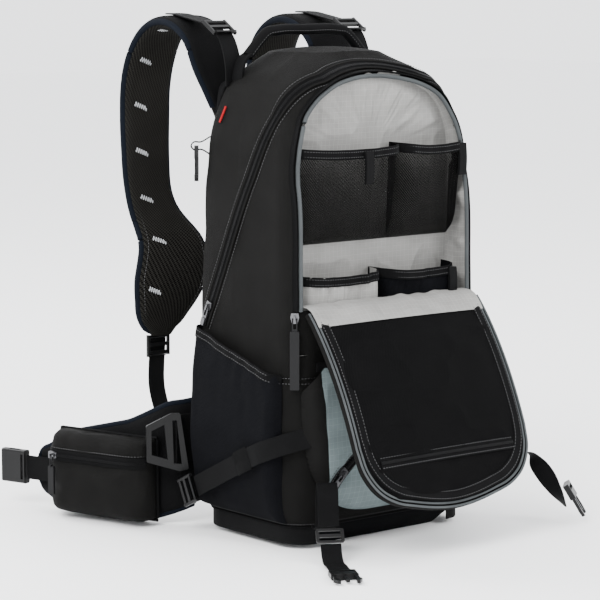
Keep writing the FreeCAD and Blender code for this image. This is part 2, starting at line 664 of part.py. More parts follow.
def accessory_clip():
    """A hanging snap hook: an open loop with an eye above, and a sprung gate across its mouth."""
    plate = Part.makePolygon([V(-5, 3, 0), V(5, 3, 0), V(7, -6, 0), V(7, -28, 0), V(3, -32, 0),
                              V(-3, -32, 0), V(-7, -28, 0), V(-7, -6, 0), V(-5, 3, 0)])
    hook = Part.Face(plate).extrude(V(0, 0, 4))
    hook.translate(V(0, 0, -2))
    hook = hook.makeFillet(1.2, [e for e in hook.Edges if abs(e.tangentAt(0).z) > 0.9])
    hook = hook.cut(block(-3.4, 3.4, -3.4, 1.0, -9, 9))
    hook = hook.cut(block(-4.2, 4.2, -28, -8, -9, 9))
    hook = hook.cut(block(3, 9, -25, -9.5, -9, 9))
    gate = block(4.6, 6.8, -24.6, -9.9, -1.6, 1.6)
    return {"clip_hook": placed(hook, CLIP_EYE, CLIP_ALONG, CLIP_FACING),
            "clip_gate": placed(gate, CLIP_EYE, CLIP_ALONG, CLIP_FACING)}


# ---- harness ----
STRAP_OUTLINE = ((-104, 500), (-110, 446), (-112, 400), (-111, 350), (-107, 300), (-105, 276), (-113, 258),
                 (-121, 236), (-116, 203), (-98, 180), (-70, 180), (-58, 197), (-38, 224), (-27, 250),
                 (-29, 276), (-52, 306), (-58, 328), (-57, 368), (-54, 430), (-50, 470), (-52, 500))


def shoulder_strap():
    """The left padded strap: a bent foam strip trimmed to its S-shaped, flared outline."""
    strip = band_yz(STRAP_PATH, 60, STRAP_THICK, -125, -20)
    corners = [V(x, 0, z) for x, z in STRAP_OUTLINE]
    corners = [V(-104, 0, 520)] + corners[1:-1] + [V(-50, 0, 520)]
    trim = Part.Face(Part.makePolygon(corners + corners[:1])).extrude(V(0, 300, 0))
    return strip.common(trim)


def harness_parts():
    """Both straps with load lifters, ladder locks and the sternum strap's two buckle halves."""
    strap = shoulder_strap()
    lifters = []
    locks = []
    for side in (-1, 1):
        x = side * -STRAP_X
        lifters.append(band_yz(((138, 510.3), (112, 506.5), (80, 501)), 30, WEB, x - 10, x + 10))
        locks.append(placed(ladder_lock(WEB_WIDTH), (x, 66.5, 497), (0, -0.85, -0.53), (0, -0.53, 0.85)))
        locks.append(placed(ladder_lock(WEB_WIDTH), (x, 171, 169), (0, 0, -1), (0, 1, 0)))
    y = STERNUM_Y
    female = placed(female_buckle(WEB_WIDTH, 1.0), (-13, y + 2, STERNUM_Z), (1, 0, 0), (0, 1, 0))
    left_web = block(-74, -28, y - 0.7, y + 0.7, STERNUM_Z - 10, STERNUM_Z + 10)
    male = placed(male_buckle(WEB_WIDTH), (5.5, y + 2, STERNUM_Z), (-1, 0, 0), (0, 1, 0))
    right_web = block(20.5, 74, y - 0.7, y + 0.7, STERNUM_Z - 10, STERNUM_Z + 10)
    return {
        "shoulder_straps": group([strap, mirrored(strap)]),
        "load_lifters": group(lifters), "harness_ladder_locks": group(locks),
        "sternum_housing": group([female, left_web]), "sternum_prongs": group([male, right_web]),
    }


# ---- hip belt ----
def wing_frame():
    """The origin, forward direction and outward direction of the belt wing's straight run."""
    corner = V(WING_PATH[1][0], WING_PATH[1][1], 0)
    along = (V(WING_PATH[2][0], WING_PATH[2][1], 0) - corner).normalize()
    return corner, along, V(-along.y, along.x, 0)


def hip_wing():
    """The left padded wing: a bent foam strip trimmed to its tapering side outline."""
    strip = band(WING_PATH, 40, WING_THICK, 0, 140)
    outline = ((110, 24), (110, 128), (160, 122), (200, 100), (262, 82), (286, 64), (300, 58), (300, 26),
               (270, 6), (240, 2), (190, 2), (160, 12))
    across = V(-0.77, 0.63, 0).normalize()
    through = V(0.63, 0.77, 0).normalize()
    corners = [across * h + V(0, 0, z) - through * 300 for h, z in outline]
    trim = Part.Face(Part.makePolygon(corners + corners[:1])).extrude(through * 800)
    anchor = block(-96, -60, WING_PATH[0][1], 140, 0, 140)
    anchor.rotate(V(*WING_PATH[0], 0), V(0, 0, 1), 36)
    return strip.common(trim).cut(anchor)


def wing_point(along_by, out_by, z):
    """A point beside the wing's straight run."""
    corner, along, out = wing_frame()
    return corner + along * along_by + out * out_by + V(0, 0, z)


def hip_pocket():
    """The zipped belt pocket: a soft box whose outer edges are rounded off."""
    box = block(0, HIP_POCKET_LENGTH, -HIP_POCKET_DEPTH / 2, HIP_POCKET_DEPTH / 2, 0, HIP_POCKET_HEIGHT)
    box = box.makeFillet(9, [e for e in box.Edges if e.CenterOfMass.y > HIP_POCKET_DEPTH / 2 - 1])
    _, along, out = wing_frame()
    origin = wing_point(8, WING_THICK / 2 + 0.3 + HIP_POCKET_DEPTH / 2, 5)
    return placed_axes(box, origin, along, out)


def placed_axes(shape, origin, x_axis, y_axis):
    """Moves a shape so that its local X and Y run along two given level directions, Z staying up."""
    return moved(shape, FreeCAD.Matrix(x_axis.x, y_axis.x, 0, origin.x, x_axis.y, y_axis.y, 0, origin.y,
                                       0, 0, 1, origin.z, 0, 0, 0, 1))


def hip_parts():
    """The belt wings with pockets, hooks, webbing, zip sliders, and the belt buckle's two halves."""
    _, along, out = wing_frame()
    face = WING_THICK / 2
    front = face + 0.3 + HIP_POCKET_DEPTH
    hook = placed(hip_hook(), (-147.5, 73.5, 88), (0.86, -0.5, 0), (-0.5, -0.86, 0.05))
    web = band(((-104, 74.4), (-127, 74.4), (-134.5, 72.2)), 20, WEB, 66, 114)
    slider = placed(zip_slider(), wing_point(116, front + 1.6, HIP_ZIP_Z), tuple(along), tuple(out))
    pull = placed(cord_pull(40, 7.0), wing_point(115.6, front + 1.6 + BRIDGE_LIFT, HIP_ZIP_Z), (0, 0, -1), tuple(along))
    tape_low = HIP_ZIP_Z - 5.5
    tape = placed_axes(block(8, 122, 0, 1.2, 0, 11), wing_point(0, front + 0.3, tape_low), along, out)
    end_web = placed_axes(block(-46, -1, -0.7, 0.7, -12.5, 12.5), wing_point(176, face + 2.4, 42), along, out)
    female = placed(female_buckle(25), wing_point(190, face + 2.4, 42), tuple(along), tuple(out))
    male = placed(male_buckle(25), mirror_point(wing_point(190, face + 2.4, 42)),
                  (-along.x, along.y, 0), (-out.x, out.y, 0))
    parts = {
        "hip_wing_left": hip_wing(), "hip_pocket_left": hip_pocket(),
        "hip_hook_left": hook, "hip_webbing_left": group([web, end_web, tape]),
        "hip_zip_slider_left": slider, "hip_zip_pull_left": pull,
    }
    for name in list(parts):
        parts[name.replace("left", "right")] = mirrored(parts[name])
    parts["belt_buckle_housing"] = female
    parts["belt_buckle_prongs"] = male
    return parts


def mirror_point(point):
    """The same point on the other side of the YZ plane."""
    return V(-point.x, point.y, point.z)


# ---- zip ends on the bag ----
def bag_zips():
    """The main zip's two sliders and the front zip's slider, with their pulls."""
    travel = V(0, ZIP_LEAN, 1).normalize()
    spot = (-122.7, zip_y(MAIN_SLIDER_Z), MAIN_SLIDER_Z)
    left = placed(zip_slider(), spot, tuple(travel), (-1, 0, 0))
    pull = trailing_pull(spot, tuple(travel), (-1, 0, 0), 20, 5.0)
    front = placed(zip_slider(), FRONT_SLIDER, (0, 0, 1), (-1, -1, 0))
    tab = trailing_pull(FRONT_SLIDER, (0, 0, 1), (-1, -1, 0), 68, 9.0)
    return {
        "zip_sliders": group([left, mirrored(left), front]),
        "main_zip_pull_left": pull, "main_zip_pull_right": mirrored(pull), "front_zip_pull": tab,
    }


def main():
    """Builds every node and writes one STEP file for each."""
    parts, outer, inner = bag_panels()
    parts.update(organiser(inner))
    parts.update(flap_parts())
    stash = stash_parts(outer)
    stash["zip_tapes"] = group([parts["zip_tapes"], stash["zip_tapes"]])
    parts.update(stash)
    pocket = side_pocket(outer)
    parts["side_pockets"] = group([pocket, mirrored(pocket)])
    straps = compression_side()
    parts["compression_straps"] = group(straps + [mirrored(strap) for strap in straps])
    lock = compression_lock()
    parts["compression_locks"] = group([lock, mirrored(lock)])
    parts.update(back_parts(outer, inner))
    parts["grab_handle"] = grab_handle()
    parts["sewn_webbing"] = sewn_webbing(outer)
    parts.update(carry_tails())
    parts.update(accessory_clip())
    parts.update(harness_parts())
    parts.update(hip_parts())
    parts.update(bag_zips())
    os.makedirs("parts", exist_ok=True)
    for old in os.listdir("parts"):
        if old.endswith(".step"):
            os.remove(os.path.join("parts", old))
    for name, shape in parts.items():
        solids = shape.Solids
        state = "ok" if solids and all(s.isValid() and s.Volume > 0 for s in solids) else "BAD"
        box = shape.BoundBox
        print(f"{name:24s} {state} solids {len(solids)} volume {shape.Volume / 1000:9.2f} cm3 "
              f"x {box.XMin:.0f} {box.XMax:.0f} y {box.YMin:.0f} {box.YMax:.0f} z {box.ZMin:.0f} {box.ZMax:.0f}")
        group(solids).exportStep(os.path.join("parts", name + ".step"))
    print(len(parts), "nodes")


main()
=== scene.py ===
"""The looks of a clamshell daypack with a tool organiser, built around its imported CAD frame."""

import json
import logging
import math
from dataclasses import dataclass
from enum import Enum
from typing import Callable, Sequence

import bpy
import numpy as np
from mathutils import Matrix

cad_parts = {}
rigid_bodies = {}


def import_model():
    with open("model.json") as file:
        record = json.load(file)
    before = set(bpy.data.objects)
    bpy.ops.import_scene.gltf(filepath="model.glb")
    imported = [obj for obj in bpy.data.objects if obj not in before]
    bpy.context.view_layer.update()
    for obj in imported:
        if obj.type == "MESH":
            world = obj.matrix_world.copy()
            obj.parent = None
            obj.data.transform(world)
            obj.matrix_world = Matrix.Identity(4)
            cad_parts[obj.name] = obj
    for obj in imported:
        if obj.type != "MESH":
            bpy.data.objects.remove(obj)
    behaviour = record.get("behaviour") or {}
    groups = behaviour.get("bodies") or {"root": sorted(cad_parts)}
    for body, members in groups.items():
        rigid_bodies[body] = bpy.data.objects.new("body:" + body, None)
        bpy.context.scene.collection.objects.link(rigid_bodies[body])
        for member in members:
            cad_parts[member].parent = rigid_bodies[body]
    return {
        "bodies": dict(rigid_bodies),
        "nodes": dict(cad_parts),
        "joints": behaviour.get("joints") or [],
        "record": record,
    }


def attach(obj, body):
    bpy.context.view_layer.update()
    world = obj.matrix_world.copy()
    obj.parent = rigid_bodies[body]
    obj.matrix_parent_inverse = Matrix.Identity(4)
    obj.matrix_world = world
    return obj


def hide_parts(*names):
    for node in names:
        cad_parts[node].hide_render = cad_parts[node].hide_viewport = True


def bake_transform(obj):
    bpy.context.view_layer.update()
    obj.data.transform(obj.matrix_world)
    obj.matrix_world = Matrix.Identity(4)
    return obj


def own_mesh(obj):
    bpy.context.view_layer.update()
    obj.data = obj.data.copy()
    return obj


Array = np.ndarray
Socket = bpy.types.NodeSocket
Value = Socket | float
LOG = logging.getLogger("daypack")
MM = 0.001
FAR = 99
UP = np.array([0.0, 0.0, 1.0])


# ------------------------------------------------------------------ finishes
class Weave(Enum):
    """How a finish is built up."""

    PLAIN = "plain"
    RIPSTOP = "ripstop"
    SPACER = "spacer"
    NETTING = "netting"
    WEBBING = "webbing"
    TAPE = "tape"
    SMOOTH = "smooth"
    METAL = "metal"


@dataclass(frozen=True)
class Finish:
    """A surface finish.

    Args:
        name: the material's name.
        slot: the record's material slot it stands for, or "" for none.
        colour: linear base colour.
        roughness: base roughness.
        weave: how the surface is built up.
        pitch: size of one repeat in metres.
        relief: bump distance in metres.
        openness: share of light that passes between the threads, for nettings.
    """

    name: str
    slot: str
    colour: tuple[float, float, float]
    roughness: float
    weave: Weave
    pitch: float = 0.0012
    relief: float = 0.0002
    openness: float = 0.0


NYLON = Finish("nylon", "nylon_black", (0.0048, 0.0047, 0.0045), 0.62, Weave.PLAIN, 0.0009, 0.00012)
BOOT = Finish("boot cloth", "boot_black", (0.00319, 0.00336, 0.00396), 0.72, Weave.PLAIN, 0.0016, 0.00025)
STRETCH = Finish("stretch", "stretch_black", (0.0027, 0.00281, 0.00358), 0.80, Weave.PLAIN, 0.0013, 0.0002)
MESH = Finish("fine mesh", "mesh_black", (0.0011, 0.001, 0.001), 0.75, Weave.NETTING, 0.0017, 0.0003, 0.05)
MESH_SOLID = Finish("flap mesh", "mesh_black", (0.00259, 0.00259, 0.00275), 0.72, Weave.SPACER, 0.0019, 0.00025)
LINER = Finish("liner", "liner_grey", (0.235, 0.232, 0.222), 0.55, Weave.RIPSTOP, 0.0052, 0.00015)
STASH = Finish("stash ripstop", "stash_grey", (0.137, 0.17, 0.174), 0.55, Weave.RIPSTOP, 0.0058, 0.00018)
TAPE_GREY = Finish("grey tape", "binding_grey", (0.055, 0.06, 0.062), 0.65, Weave.TAPE, 0.0011, 0.0002)
TAPE_BLACK = Finish("black tape", "zip_tape", (0.00319, 0.00319, 0.00336), 0.62, Weave.TAPE, 0.0011, 0.0002)
COIL = Finish("zip coil", "zip_tape", (0.00396, 0.00396, 0.00418), 0.38, Weave.WEBBING, 0.0012, 0.0004)
WEBBING = Finish("webbing", "webbing_black", (0.00473, 0.00473, 0.00495), 0.58, Weave.WEBBING, 0.0017, 0.0004)
BINDING = Finish("navy binding", "strap_black", (0.0042, 0.0056, 0.0088), 0.70, Weave.TAPE, 0.0012, 0.0002)
SPACER = Finish("spacer mesh", "strap_black", (0.0135, 0.013, 0.0115), 0.85, Weave.SPACER, 0.0034, 0.0006)
PAD_MESH = Finish("pad mesh", "foam_black", (0.009, 0.009, 0.0085), 0.85, Weave.SPACER, 0.0040, 0.0007)
STRAP_CLOTH = Finish("strap cloth", "strap_black", (0.00336, 0.00336, 0.00358), 0.70, Weave.PLAIN, 0.0010, 0.00015)
HANDLE = Finish("handle cover", "handle_cover", (0.00396, 0.00396, 0.00418), 0.70, Weave.WEBBING, 0.0016, 0.0003)
THREAD = Finish("black thread", "webbing_black", (0.035, 0.035, 0.036), 0.60, Weave.SMOOTH)
PALE_THREAD = Finish("pale thread", "binding_grey", (0.4, 0.41, 0.42), 0.60, Weave.SMOOTH)
RED = Finish("red tab", "webbing_black", (0.22, 0.008, 0.010), 0.60, Weave.WEBBING, 0.0014, 0.0002)
ACETAL = Finish("acetal", "plastic_black", (0.00358, 0.00358, 0.00374), 0.36, Weave.SMOOTH, 0.004, 0.00004)
SHEET = Finish("frame sheet", "sheet_plastic", (0.05, 0.05, 0.05), 0.45, Weave.SMOOTH, 0.004, 0.00004)
ALLOY = Finish("stay alloy", "stay_alloy", (0.6, 0.61, 0.63), 0.34, Weave.METAL, 0.002, 0.00002)
ZIP_METAL = Finish("zip metal", "zip_metal", (0.1, 0.1, 0.105), 0.30, Weave.METAL, 0.002, 0.00002)
RUBBER = Finish("pull rubber", "pull_rubber", (0.00396, 0.00396, 0.00435), 0.58, Weave.SMOOTH, 0.003, 0.00008)
FLOOR = Finish("floor", "", (0.97, 0.97, 0.97), 0.60, Weave.SMOOTH)


class MaterialShop:
    """Builds each finish once, from procedural nodes on the pieces' own UVs and object coordinates."""

    def __init__(self) -> None:
        self._made: dict[str, bpy.types.Material] = {}

    def get(self, finish: Finish) -> bpy.types.Material:
        """The material for a finish."""
        if finish.name not in self._made:
            self._made[finish.name] = self._build(finish)
        return self._made[finish.name]

    def _build(self, finish: Finish) -> bpy.types.Material:
        """Makes a material whose colour, relief and gloss come from its weave.

        Args:
            finish: the finish.

        Returns:
            The material.
        """
        material = bpy.data.materials.new(finish.name)
        material.use_nodes = True
        material.diffuse_color = (*finish.colour, 1.0)
        tree = NodeTree(material.node_tree)
        shader = tree.first("BSDF_PRINCIPLED")
        shader.inputs["Base Color"].default_value = (*finish.colour, 1.0)
        shader.inputs["Roughness"].default_value = finish.roughness
        if finish.weave is Weave.METAL:
            shader.inputs["Metallic"].default_value = 0.9
        elif finish.weave is Weave.SMOOTH:
            shader.inputs["Specular IOR Level"].default_value = 0.16
        else:
            shader.inputs["Specular IOR Level"].default_value = 0.03
        if finish is FLOOR:
            return material
        u, v = tree.uv()
        height, tone = self._pattern(tree, finish, u, v)
        tree.link(tree.tinted(finish.colour, tone), shader.inputs["Base Color"])
        tree.link(tree.bump(height, finish.relief), shader.inputs["Normal"])
        if finish.openness > 0:
            self._open_up(tree, finish, shader, u, v)
        return material

    def _pattern(self, tree: "NodeTree", finish: Finish, u: Socket, v: Socket) -> tuple[Value, Value]:
        """The weave's height and tone, from sines of the weave coordinates and a soft mottle; in meshes and webbing
        the tone also carries painted shade, darker in the holes and grooves.

        Args:
            tree: the material's nodes.
            finish: the finish.
            u: distance across the piece.
            v: distance along it.

        Returns:
            Height and tone, both about 0 to 1.
        """
        step = 2 * math.pi / finish.pitch
        mottle = tree.noise(45.0, 3.0)
        if finish.weave in (Weave.SMOOTH, Weave.METAL):
            grain = tree.noise(900.0, 2.0)
            return grain, mottle
        across, along = tree.wave(u, step), tree.wave(v, step)
        if finish.weave is Weave.RIPSTOP:
            fine = tree.math("MULTIPLY", tree.wave(u, step * 7), tree.wave(v, step * 7))
            grid = tree.math("MAXIMUM", tree.peak(across, 0.985), tree.peak(along, 0.985))
            height = tree.math("ADD", tree.math("MULTIPLY", fine, 0.25), grid)
            tone = tree.math("ADD", tree.math("MULTIPLY", grid, 0.30), tree.math("MULTIPLY", mottle, 0.85))
            return height, tone
        if finish.weave in (Weave.SPACER, Weave.NETTING):
            shifted = tree.wave(tree.math("ADD", u, tree.math("MULTIPLY", v, 0.5)), step)
            hole = tree.peak(tree.math("MULTIPLY", shifted, along), 0.12)
            height = tree.math("SUBTRACT", 1.0, hole)
            # Painted shade: the holes are darkened in the colour to 0.12 of the threads' tone, standing in for the
            # shade inside the mesh's depth; for nettings the holes are also partly open.
            thread = tree.math("ADD", 0.12, tree.math("MULTIPLY", height, 0.9))
            return height, tree.math("MULTIPLY", thread, mottle)
        if finish.weave is Weave.WEBBING:
            rib = tree.math("ABSOLUTE", tree.wave(tree.math("ADD", v, tree.math("MULTIPLY", u, 0.25)), step))
            # Painted shade and highlight: the tone follows the rib height, darker in the grooves between the ribs
            # and lighter on the raised ribs.
            thread = tree.math("ADD", 0.75, tree.math("MULTIPLY", rib, 0.35))
            return rib, tree.math("MULTIPLY", thread, mottle)
        if finish.weave is Weave.TAPE:
            herring = tree.wave(tree.math("ADD", v, tree.math("ABSOLUTE", u)), step)
            return herring, mottle
        twill = tree.wave(tree.math("ADD", u, v), step)
        return tree.math("MULTIPLY", twill, across), mottle

    def _open_up(self, tree: "NodeTree", finish: Finish, shader: bpy.types.Node, u: Socket, v: Socket) -> None:
        """Lets light through the holes of a netting, where two crossed sines peak.

        Args:
            tree: the material's nodes.
            finish: the finish.
            shader: its shader.
            u: distance across the piece.
            v: distance along it.
        """
        step = 2 * math.pi / finish.pitch
        shifted = tree.wave(tree.math("ADD", u, tree.math("MULTIPLY", v, 0.5)), step)
        hole = tree.peak(tree.math("MULTIPLY", shifted, tree.wave(v, step)), 0.55 - 0.4 * finish.openness)
        solid = tree.math("SUBTRACT", 1.0, tree.math("MULTIPLY", hole, 0.9))
        tree.link(solid, shader.inputs["Alpha"])


class NodeTree:
    """Short names for the shader nodes that the finishes use."""

    def __init__(self, tree: bpy.types.NodeTree) -> None:
        self.tree = tree

    def first(self, kind: str) -> bpy.types.Node:
        """The first node of a type."""
        return next(n for n in self.tree.nodes if n.type == kind)

    def new(self, kind: str) -> bpy.types.Node:
        """A new node."""
        return self.tree.nodes.new(kind)

    def link(self, source: Value, target: Socket) -> None:
        """Joins two sockets, or sets the target's value."""
        if isinstance(source, (int, float)):
            target.default_value = source
        else:
            self.tree.links.new(source, target)

    def math(self, operation: str, a: Value, b: Value | None = None) -> Socket:
        """A math node.

        Args:
            operation: what it does.
            a: its first value.
            b: its second, if it has one.

        Returns:
            Its result.
        """
        node = self.new("ShaderNodeMath")
        node.operation = operation
        self.link(a, node.inputs[0])
        if b is not None:
            self.link(b, node.inputs[1])
        return node.outputs[0]

    def uv(self) -> tuple[Socket, Socket]:
        """The piece's own weave coordinates, in metres.

        Returns:
            Across and along.
        """
        node = self.new("ShaderNodeUVMap")
        node.uv_map = "Weave"
        split = self.new("ShaderNodeSeparateXYZ")
        self.link(node.outputs["UV"], split.inputs[0])
        return split.outputs[0], split.outputs[1]

    def noise(self, scale: float, detail: float) -> Socket:
        """Object-space noise, squeezed to lie about 1.

        Args:
            scale: features per metre.
            detail: its octaves.

        Returns:
            The noise.
        """
        place = self.new("ShaderNodeTexCoord")
        node = self.new("ShaderNodeTexNoise")
        node.inputs["Scale"].default_value = scale
        node.inputs["Detail"].default_value = detail
        self.link(place.outputs["Object"], node.inputs["Vector"])
        return self.math("ADD", self.math("MULTIPLY", node.outputs["Fac"], 0.5), 0.75)

    def wave(self, value: Value, step: float) -> Socket:
        """A sine of value times step, -1 to 1."""
        return self.math("SINE", self.math("MULTIPLY", value, step))

    def peak(self, value: Value, level: float) -> Socket:
        """1 where value is above level, else 0."""
        return self.math("GREATER_THAN", value, level)

    def tinted(self, colour: tuple[float, float, float], tone: Value) -> Socket:
        """A colour times a tone.

        Args:
            colour: the colour.
            tone: the tone.

        Returns:
            The tinted colour.
        """
        node = self.new("ShaderNodeMix")
        node.data_type = "RGBA"
        node.blend_type = "MULTIPLY"
        node.inputs[0].default_value = 1.0
        node.inputs[6].default_value = (*colour, 1.0)
        joined = self.new("ShaderNodeCombineColor")
        for socket in joined.inputs:
            self.link(tone, socket)
        self.link(joined.outputs[0], node.inputs[7])
        return node.outputs[2]

    def bump(self, height: Value, distance: float) -> Socket:
        """A normal from a height.

        Args:
            height: the height, 0 to 1.
            distance: how deep 1 is, in metres.

        Returns:
            The normal.
        """
        node = self.new("ShaderNodeBump")
        node.inputs["Strength"].default_value = 0.8
        node.inputs["Distance"].default_value = distance
        self.link(height, node.inputs["Height"])
        return node.outputs["Normal"]


# ------------------------------------------------------------------ numeric tools
def unit(v: Array) -> Array:
    """Vectors scaled to length 1 along the last axis."""
    v = np.asarray(v, float)
    return v / np.maximum(np.linalg.norm(v, axis=-1, keepdims=True), 1e-12)


def smooth_line(points: Sequence, count: int, even: bool = True) -> Array:
    """A smooth curve through control rows, by centripetal-like cubic Hermite interpolation.

    Args:
        points: (n, k) control rows; the first three columns, or all when fewer, measure length.
        count: how many samples to return.
        even: whether the samples are spaced evenly along the curve.

    Returns:
        The (count, k) samples.
    """
    rows = np.asarray(points, float)
    gaps = np.linalg.norm(np.diff(rows[:, :3], axis=0), axis=1) + 1e-9
    t = np.concatenate([[0], np.cumsum(gaps)])
    slopes = np.gradient(rows, t, axis=0)
    fine = np.linspace(0, t[-1], max(count * 4, 200))
    dense = hermite(t, rows, slopes, fine)
    if not even:
        return hermite(t, rows, slopes, np.linspace(0, t[-1], count))
    length = np.concatenate([[0], np.cumsum(np.linalg.norm(np.diff(dense[:, :3], axis=0), axis=1))])
    at = np.interp(np.linspace(0, length[-1], count), length, fine)
    return hermite(t, rows, slopes, at)


def hermite(t: Array, rows: Array, slopes: Array, at: Array) -> Array:
    """Cubic Hermite curve through rows with given slopes: each span blends its two ends and their slopes.

    Args:
        t: (n,) parameters of the rows.
        rows: (n, k) values there.
        slopes: (n, k) slopes there.
        at: parameters wanted.

    Returns:
        The values at them.
    """
    i = np.clip(np.searchsorted(t, at, side="right") - 1, 0, len(t) - 2)
    h = (t[i + 1] - t[i])[:, None]
    x = ((at - t[i])[:, None]) / h
    a, b = rows[i], rows[i + 1]
    return ((1 + 2 * x) * (1 - x) ** 2 * a + x * (1 - x) ** 2 * h * slopes[i]
            + x * x * (3 - 2 * x) * b + x * x * (x - 1) * h * slopes[i + 1])


def run_length(path: Array) -> Array:
    """Distance along a path at each of its points."""
    return np.concatenate([[0], np.cumsum(np.linalg.norm(np.diff(path, axis=0), axis=1))])


def value_noise(points: Array, scale: float, seed: int) -> Array:
    """Smooth noise: random numbers on a grid of cubes, blended between the corners of each cube.

    Args:
        points: (..., 3) points.
        scale: size of a cube.
        seed: for the random numbers.

    Returns:
        One number from -1 to 1 per point.
    """
    table = np.random.default_rng(seed).uniform(-1, 1, 8192)
    q = points / scale
    base = np.floor(q).astype(np.int64)
    f = q - base
    f = f * f * (3 - 2 * f)
    total = np.zeros(q.shape[:-1])
    for corner in range(8):
        d = np.array([corner & 1, corner >> 1 & 1, corner >> 2 & 1])
        c = base + d
        key = (c[..., 0] * 73856093 ^ c[..., 1] * 19349663 ^ c[..., 2] * 83492791) & 8191
        weight = np.prod(np.where(d, f, 1 - f), axis=-1)
        total += table[key] * weight
    return total


def creases(points: Array, stretch: Sequence[float], scale: float, seed: int) -> Array:
    """Folds: one minus the noise's size, cubed, which is sharp where the noise is zero."""
    n = value_noise(points / np.asarray(stretch, float), scale, seed)
    return (1 - np.abs(n)) ** 3


def edge_distance(points: Array, outline: Array) -> Array:
    """Signed distance to a closed outline: the nearest side's distance, signed by counting crossings.

    Args:
        points: (..., 2) points.
        outline: (n, 2) corners.

    Returns:
        The distances, positive inside.
    """
    flat = points.reshape(-1, 2)
    a, b = outline, np.roll(outline, -1, axis=0)
    best = np.full(len(flat), np.inf)
    inside = np.zeros(len(flat), bool)
    for p, q in zip(a, b):
        d = q - p
        t = np.clip(((flat - p) @ d) / max(d @ d, 1e-18), 0, 1)
        best = np.minimum(best, np.linalg.norm(flat - p - t[:, None] * d, axis=1))
        crosses = (p[1] > flat[:, 1]) != (q[1] > flat[:, 1])
        at = p[0] + (flat[:, 1] - p[1]) * d[0] / (d[1] if abs(d[1]) > 1e-12 else 1e-12)
        inside ^= crosses & (flat[:, 0] < at)
    return np.where(inside, best, -best).reshape(points.shape[:-1])


# ------------------------------------------------------------------ meshes, in millimetres
@dataclass
class Skin:
    """A mesh being made, in millimetres: points, triangle or quad faces, one weave coordinate per point."""

    points: Array
    faces: Array
    uv: Array

    @classmethod
    def grid(cls, points: Array, uv: Array | None = None, flip: bool = False) -> "Skin":
        """A skin over a (rows, columns, 3) grid of points.

        Args:
            points: the grid.
            uv: weave coordinates per grid point, or None to measure them along rows and columns.
            flip: turns the faces over.

        Returns:
            The skin.
        """
        rows, cols = points.shape[:2]
        if uv is None:
            across = np.zeros((rows, cols))
            across[:, 1:] = np.cumsum(np.linalg.norm(np.diff(points, axis=1), axis=2), axis=1)
            across -= across.mean(axis=1, keepdims=True)
            along = np.zeros((rows, cols))
            along[1:] = np.cumsum(np.linalg.norm(np.diff(points, axis=0), axis=2), axis=0)
            uv = np.stack([across, along.mean(axis=1, keepdims=True) * np.ones((1, cols))], axis=-1)
        index = np.arange(rows * cols).reshape(rows, cols)
        quads = np.stack([index[:-1, :-1], index[:-1, 1:], index[1:, 1:], index[1:, :-1]], axis=-1)
        quads = quads.reshape(-1, 4)
        if flip:
            quads = quads[:, ::-1]
        return cls(points.reshape(-1, 3).copy(), quads, uv.reshape(-1, 2).copy())

    @classmethod
    def joined(cls, skins: Sequence["Skin"]) -> "Skin":
        """Several skins as one.

        Args:
            skins: the skins.

        Returns:
            One skin, in triangles where they differ.
        """
        if len({s.faces.shape[1] for s in skins}) > 1:
            skins = [s.triangulated() for s in skins]
        starts = np.cumsum([0] + [len(s.points) for s in skins[:-1]])
        return cls(np.concatenate([s.points for s in skins]),
                   np.concatenate([s.faces + k for s, k in zip(skins, starts)]),
                   np.concatenate([s.uv for s in skins]))

    def triangulated(self) -> "Skin":
        """The same skin in triangles."""
        if self.faces.shape[1] == 3:
            return self
        f = self.faces
        return Skin(self.points, np.concatenate([f[:, [0, 1, 2]], f[:, [0, 2, 3]]]), self.uv)

    def kept(self, value: Array) -> "Skin":
        """The part of the skin where value is above zero, cut cleanly along the zero line.

        Args:
            value: one number per point.

        Returns:
            The trimmed skin in triangles.
        """
        skin = self.triangulated()
        value = np.where(np.abs(value) < 1e-9, 1e-9, value)
        f = skin.faces
        sign = value[f] > 0
        count = sign.sum(axis=1)
        whole = f[count == 3]
        parts, points, uvs = [whole], [skin.points], [skin.uv]
        start = len(skin.points)
        for wanted in (1, 2):
            some = f[count == wanted]
            lone = sign[count == wanted] if wanted == 1 else ~sign[count == wanted]
            k = lone.argmax(axis=1)
            row = np.arange(len(some))
            a, b, c = some[row, k], some[row, (k + 1) % 3], some[row, (k + 2) % 3]
            cut = []
            for other in (b, c):
                t = (value[a] / (value[a] - value[other]))[:, None]
                points.append(skin.points[a] + t * (skin.points[other] - skin.points[a]))
                uvs.append(skin.uv[a] + t * (skin.uv[other] - skin.uv[a]))
                cut.append(start + row)
                start += len(some)
            if wanted == 1:
                parts.append(np.stack([a, cut[0], cut[1]], axis=1))
            else:
                parts.append(np.stack([cut[0], b, c], axis=1))
                parts.append(np.stack([cut[0], c, cut[1]], axis=1))
        return Skin(np.concatenate(points), np.concatenate(parts), np.concatenate(uvs)).tidied()

    def tidied(self) -> "Skin":
        """Drops unused points and joins those at the same place.

        Returns:
            The tidied skin.
        """
        used, inverse = np.unique(self.faces, return_inverse=True)
        points, uv = self.points[used], self.uv[used]
        faces = inverse.reshape(self.faces.shape)
        key = np.round(np.concatenate([points, uv], axis=1) * 1e3).astype(np.int64)
        _, first, same = np.unique(key, axis=0, return_index=True, return_inverse=True)
        faces = same.ravel()[faces]
        good = (faces[:, 0] != faces[:, 1]) & (faces[:, 1] != faces[:, 2]) & (faces[:, 2] != faces[:, 0])
        return Skin(points[first], faces[good], uv[first])

    def mirrored(self) -> "Skin":
        """The skin on the other side of the YZ plane."""
        return Skin(self.points * [-1, 1, 1], self.faces[:, ::-1], self.uv * [-1, 1])


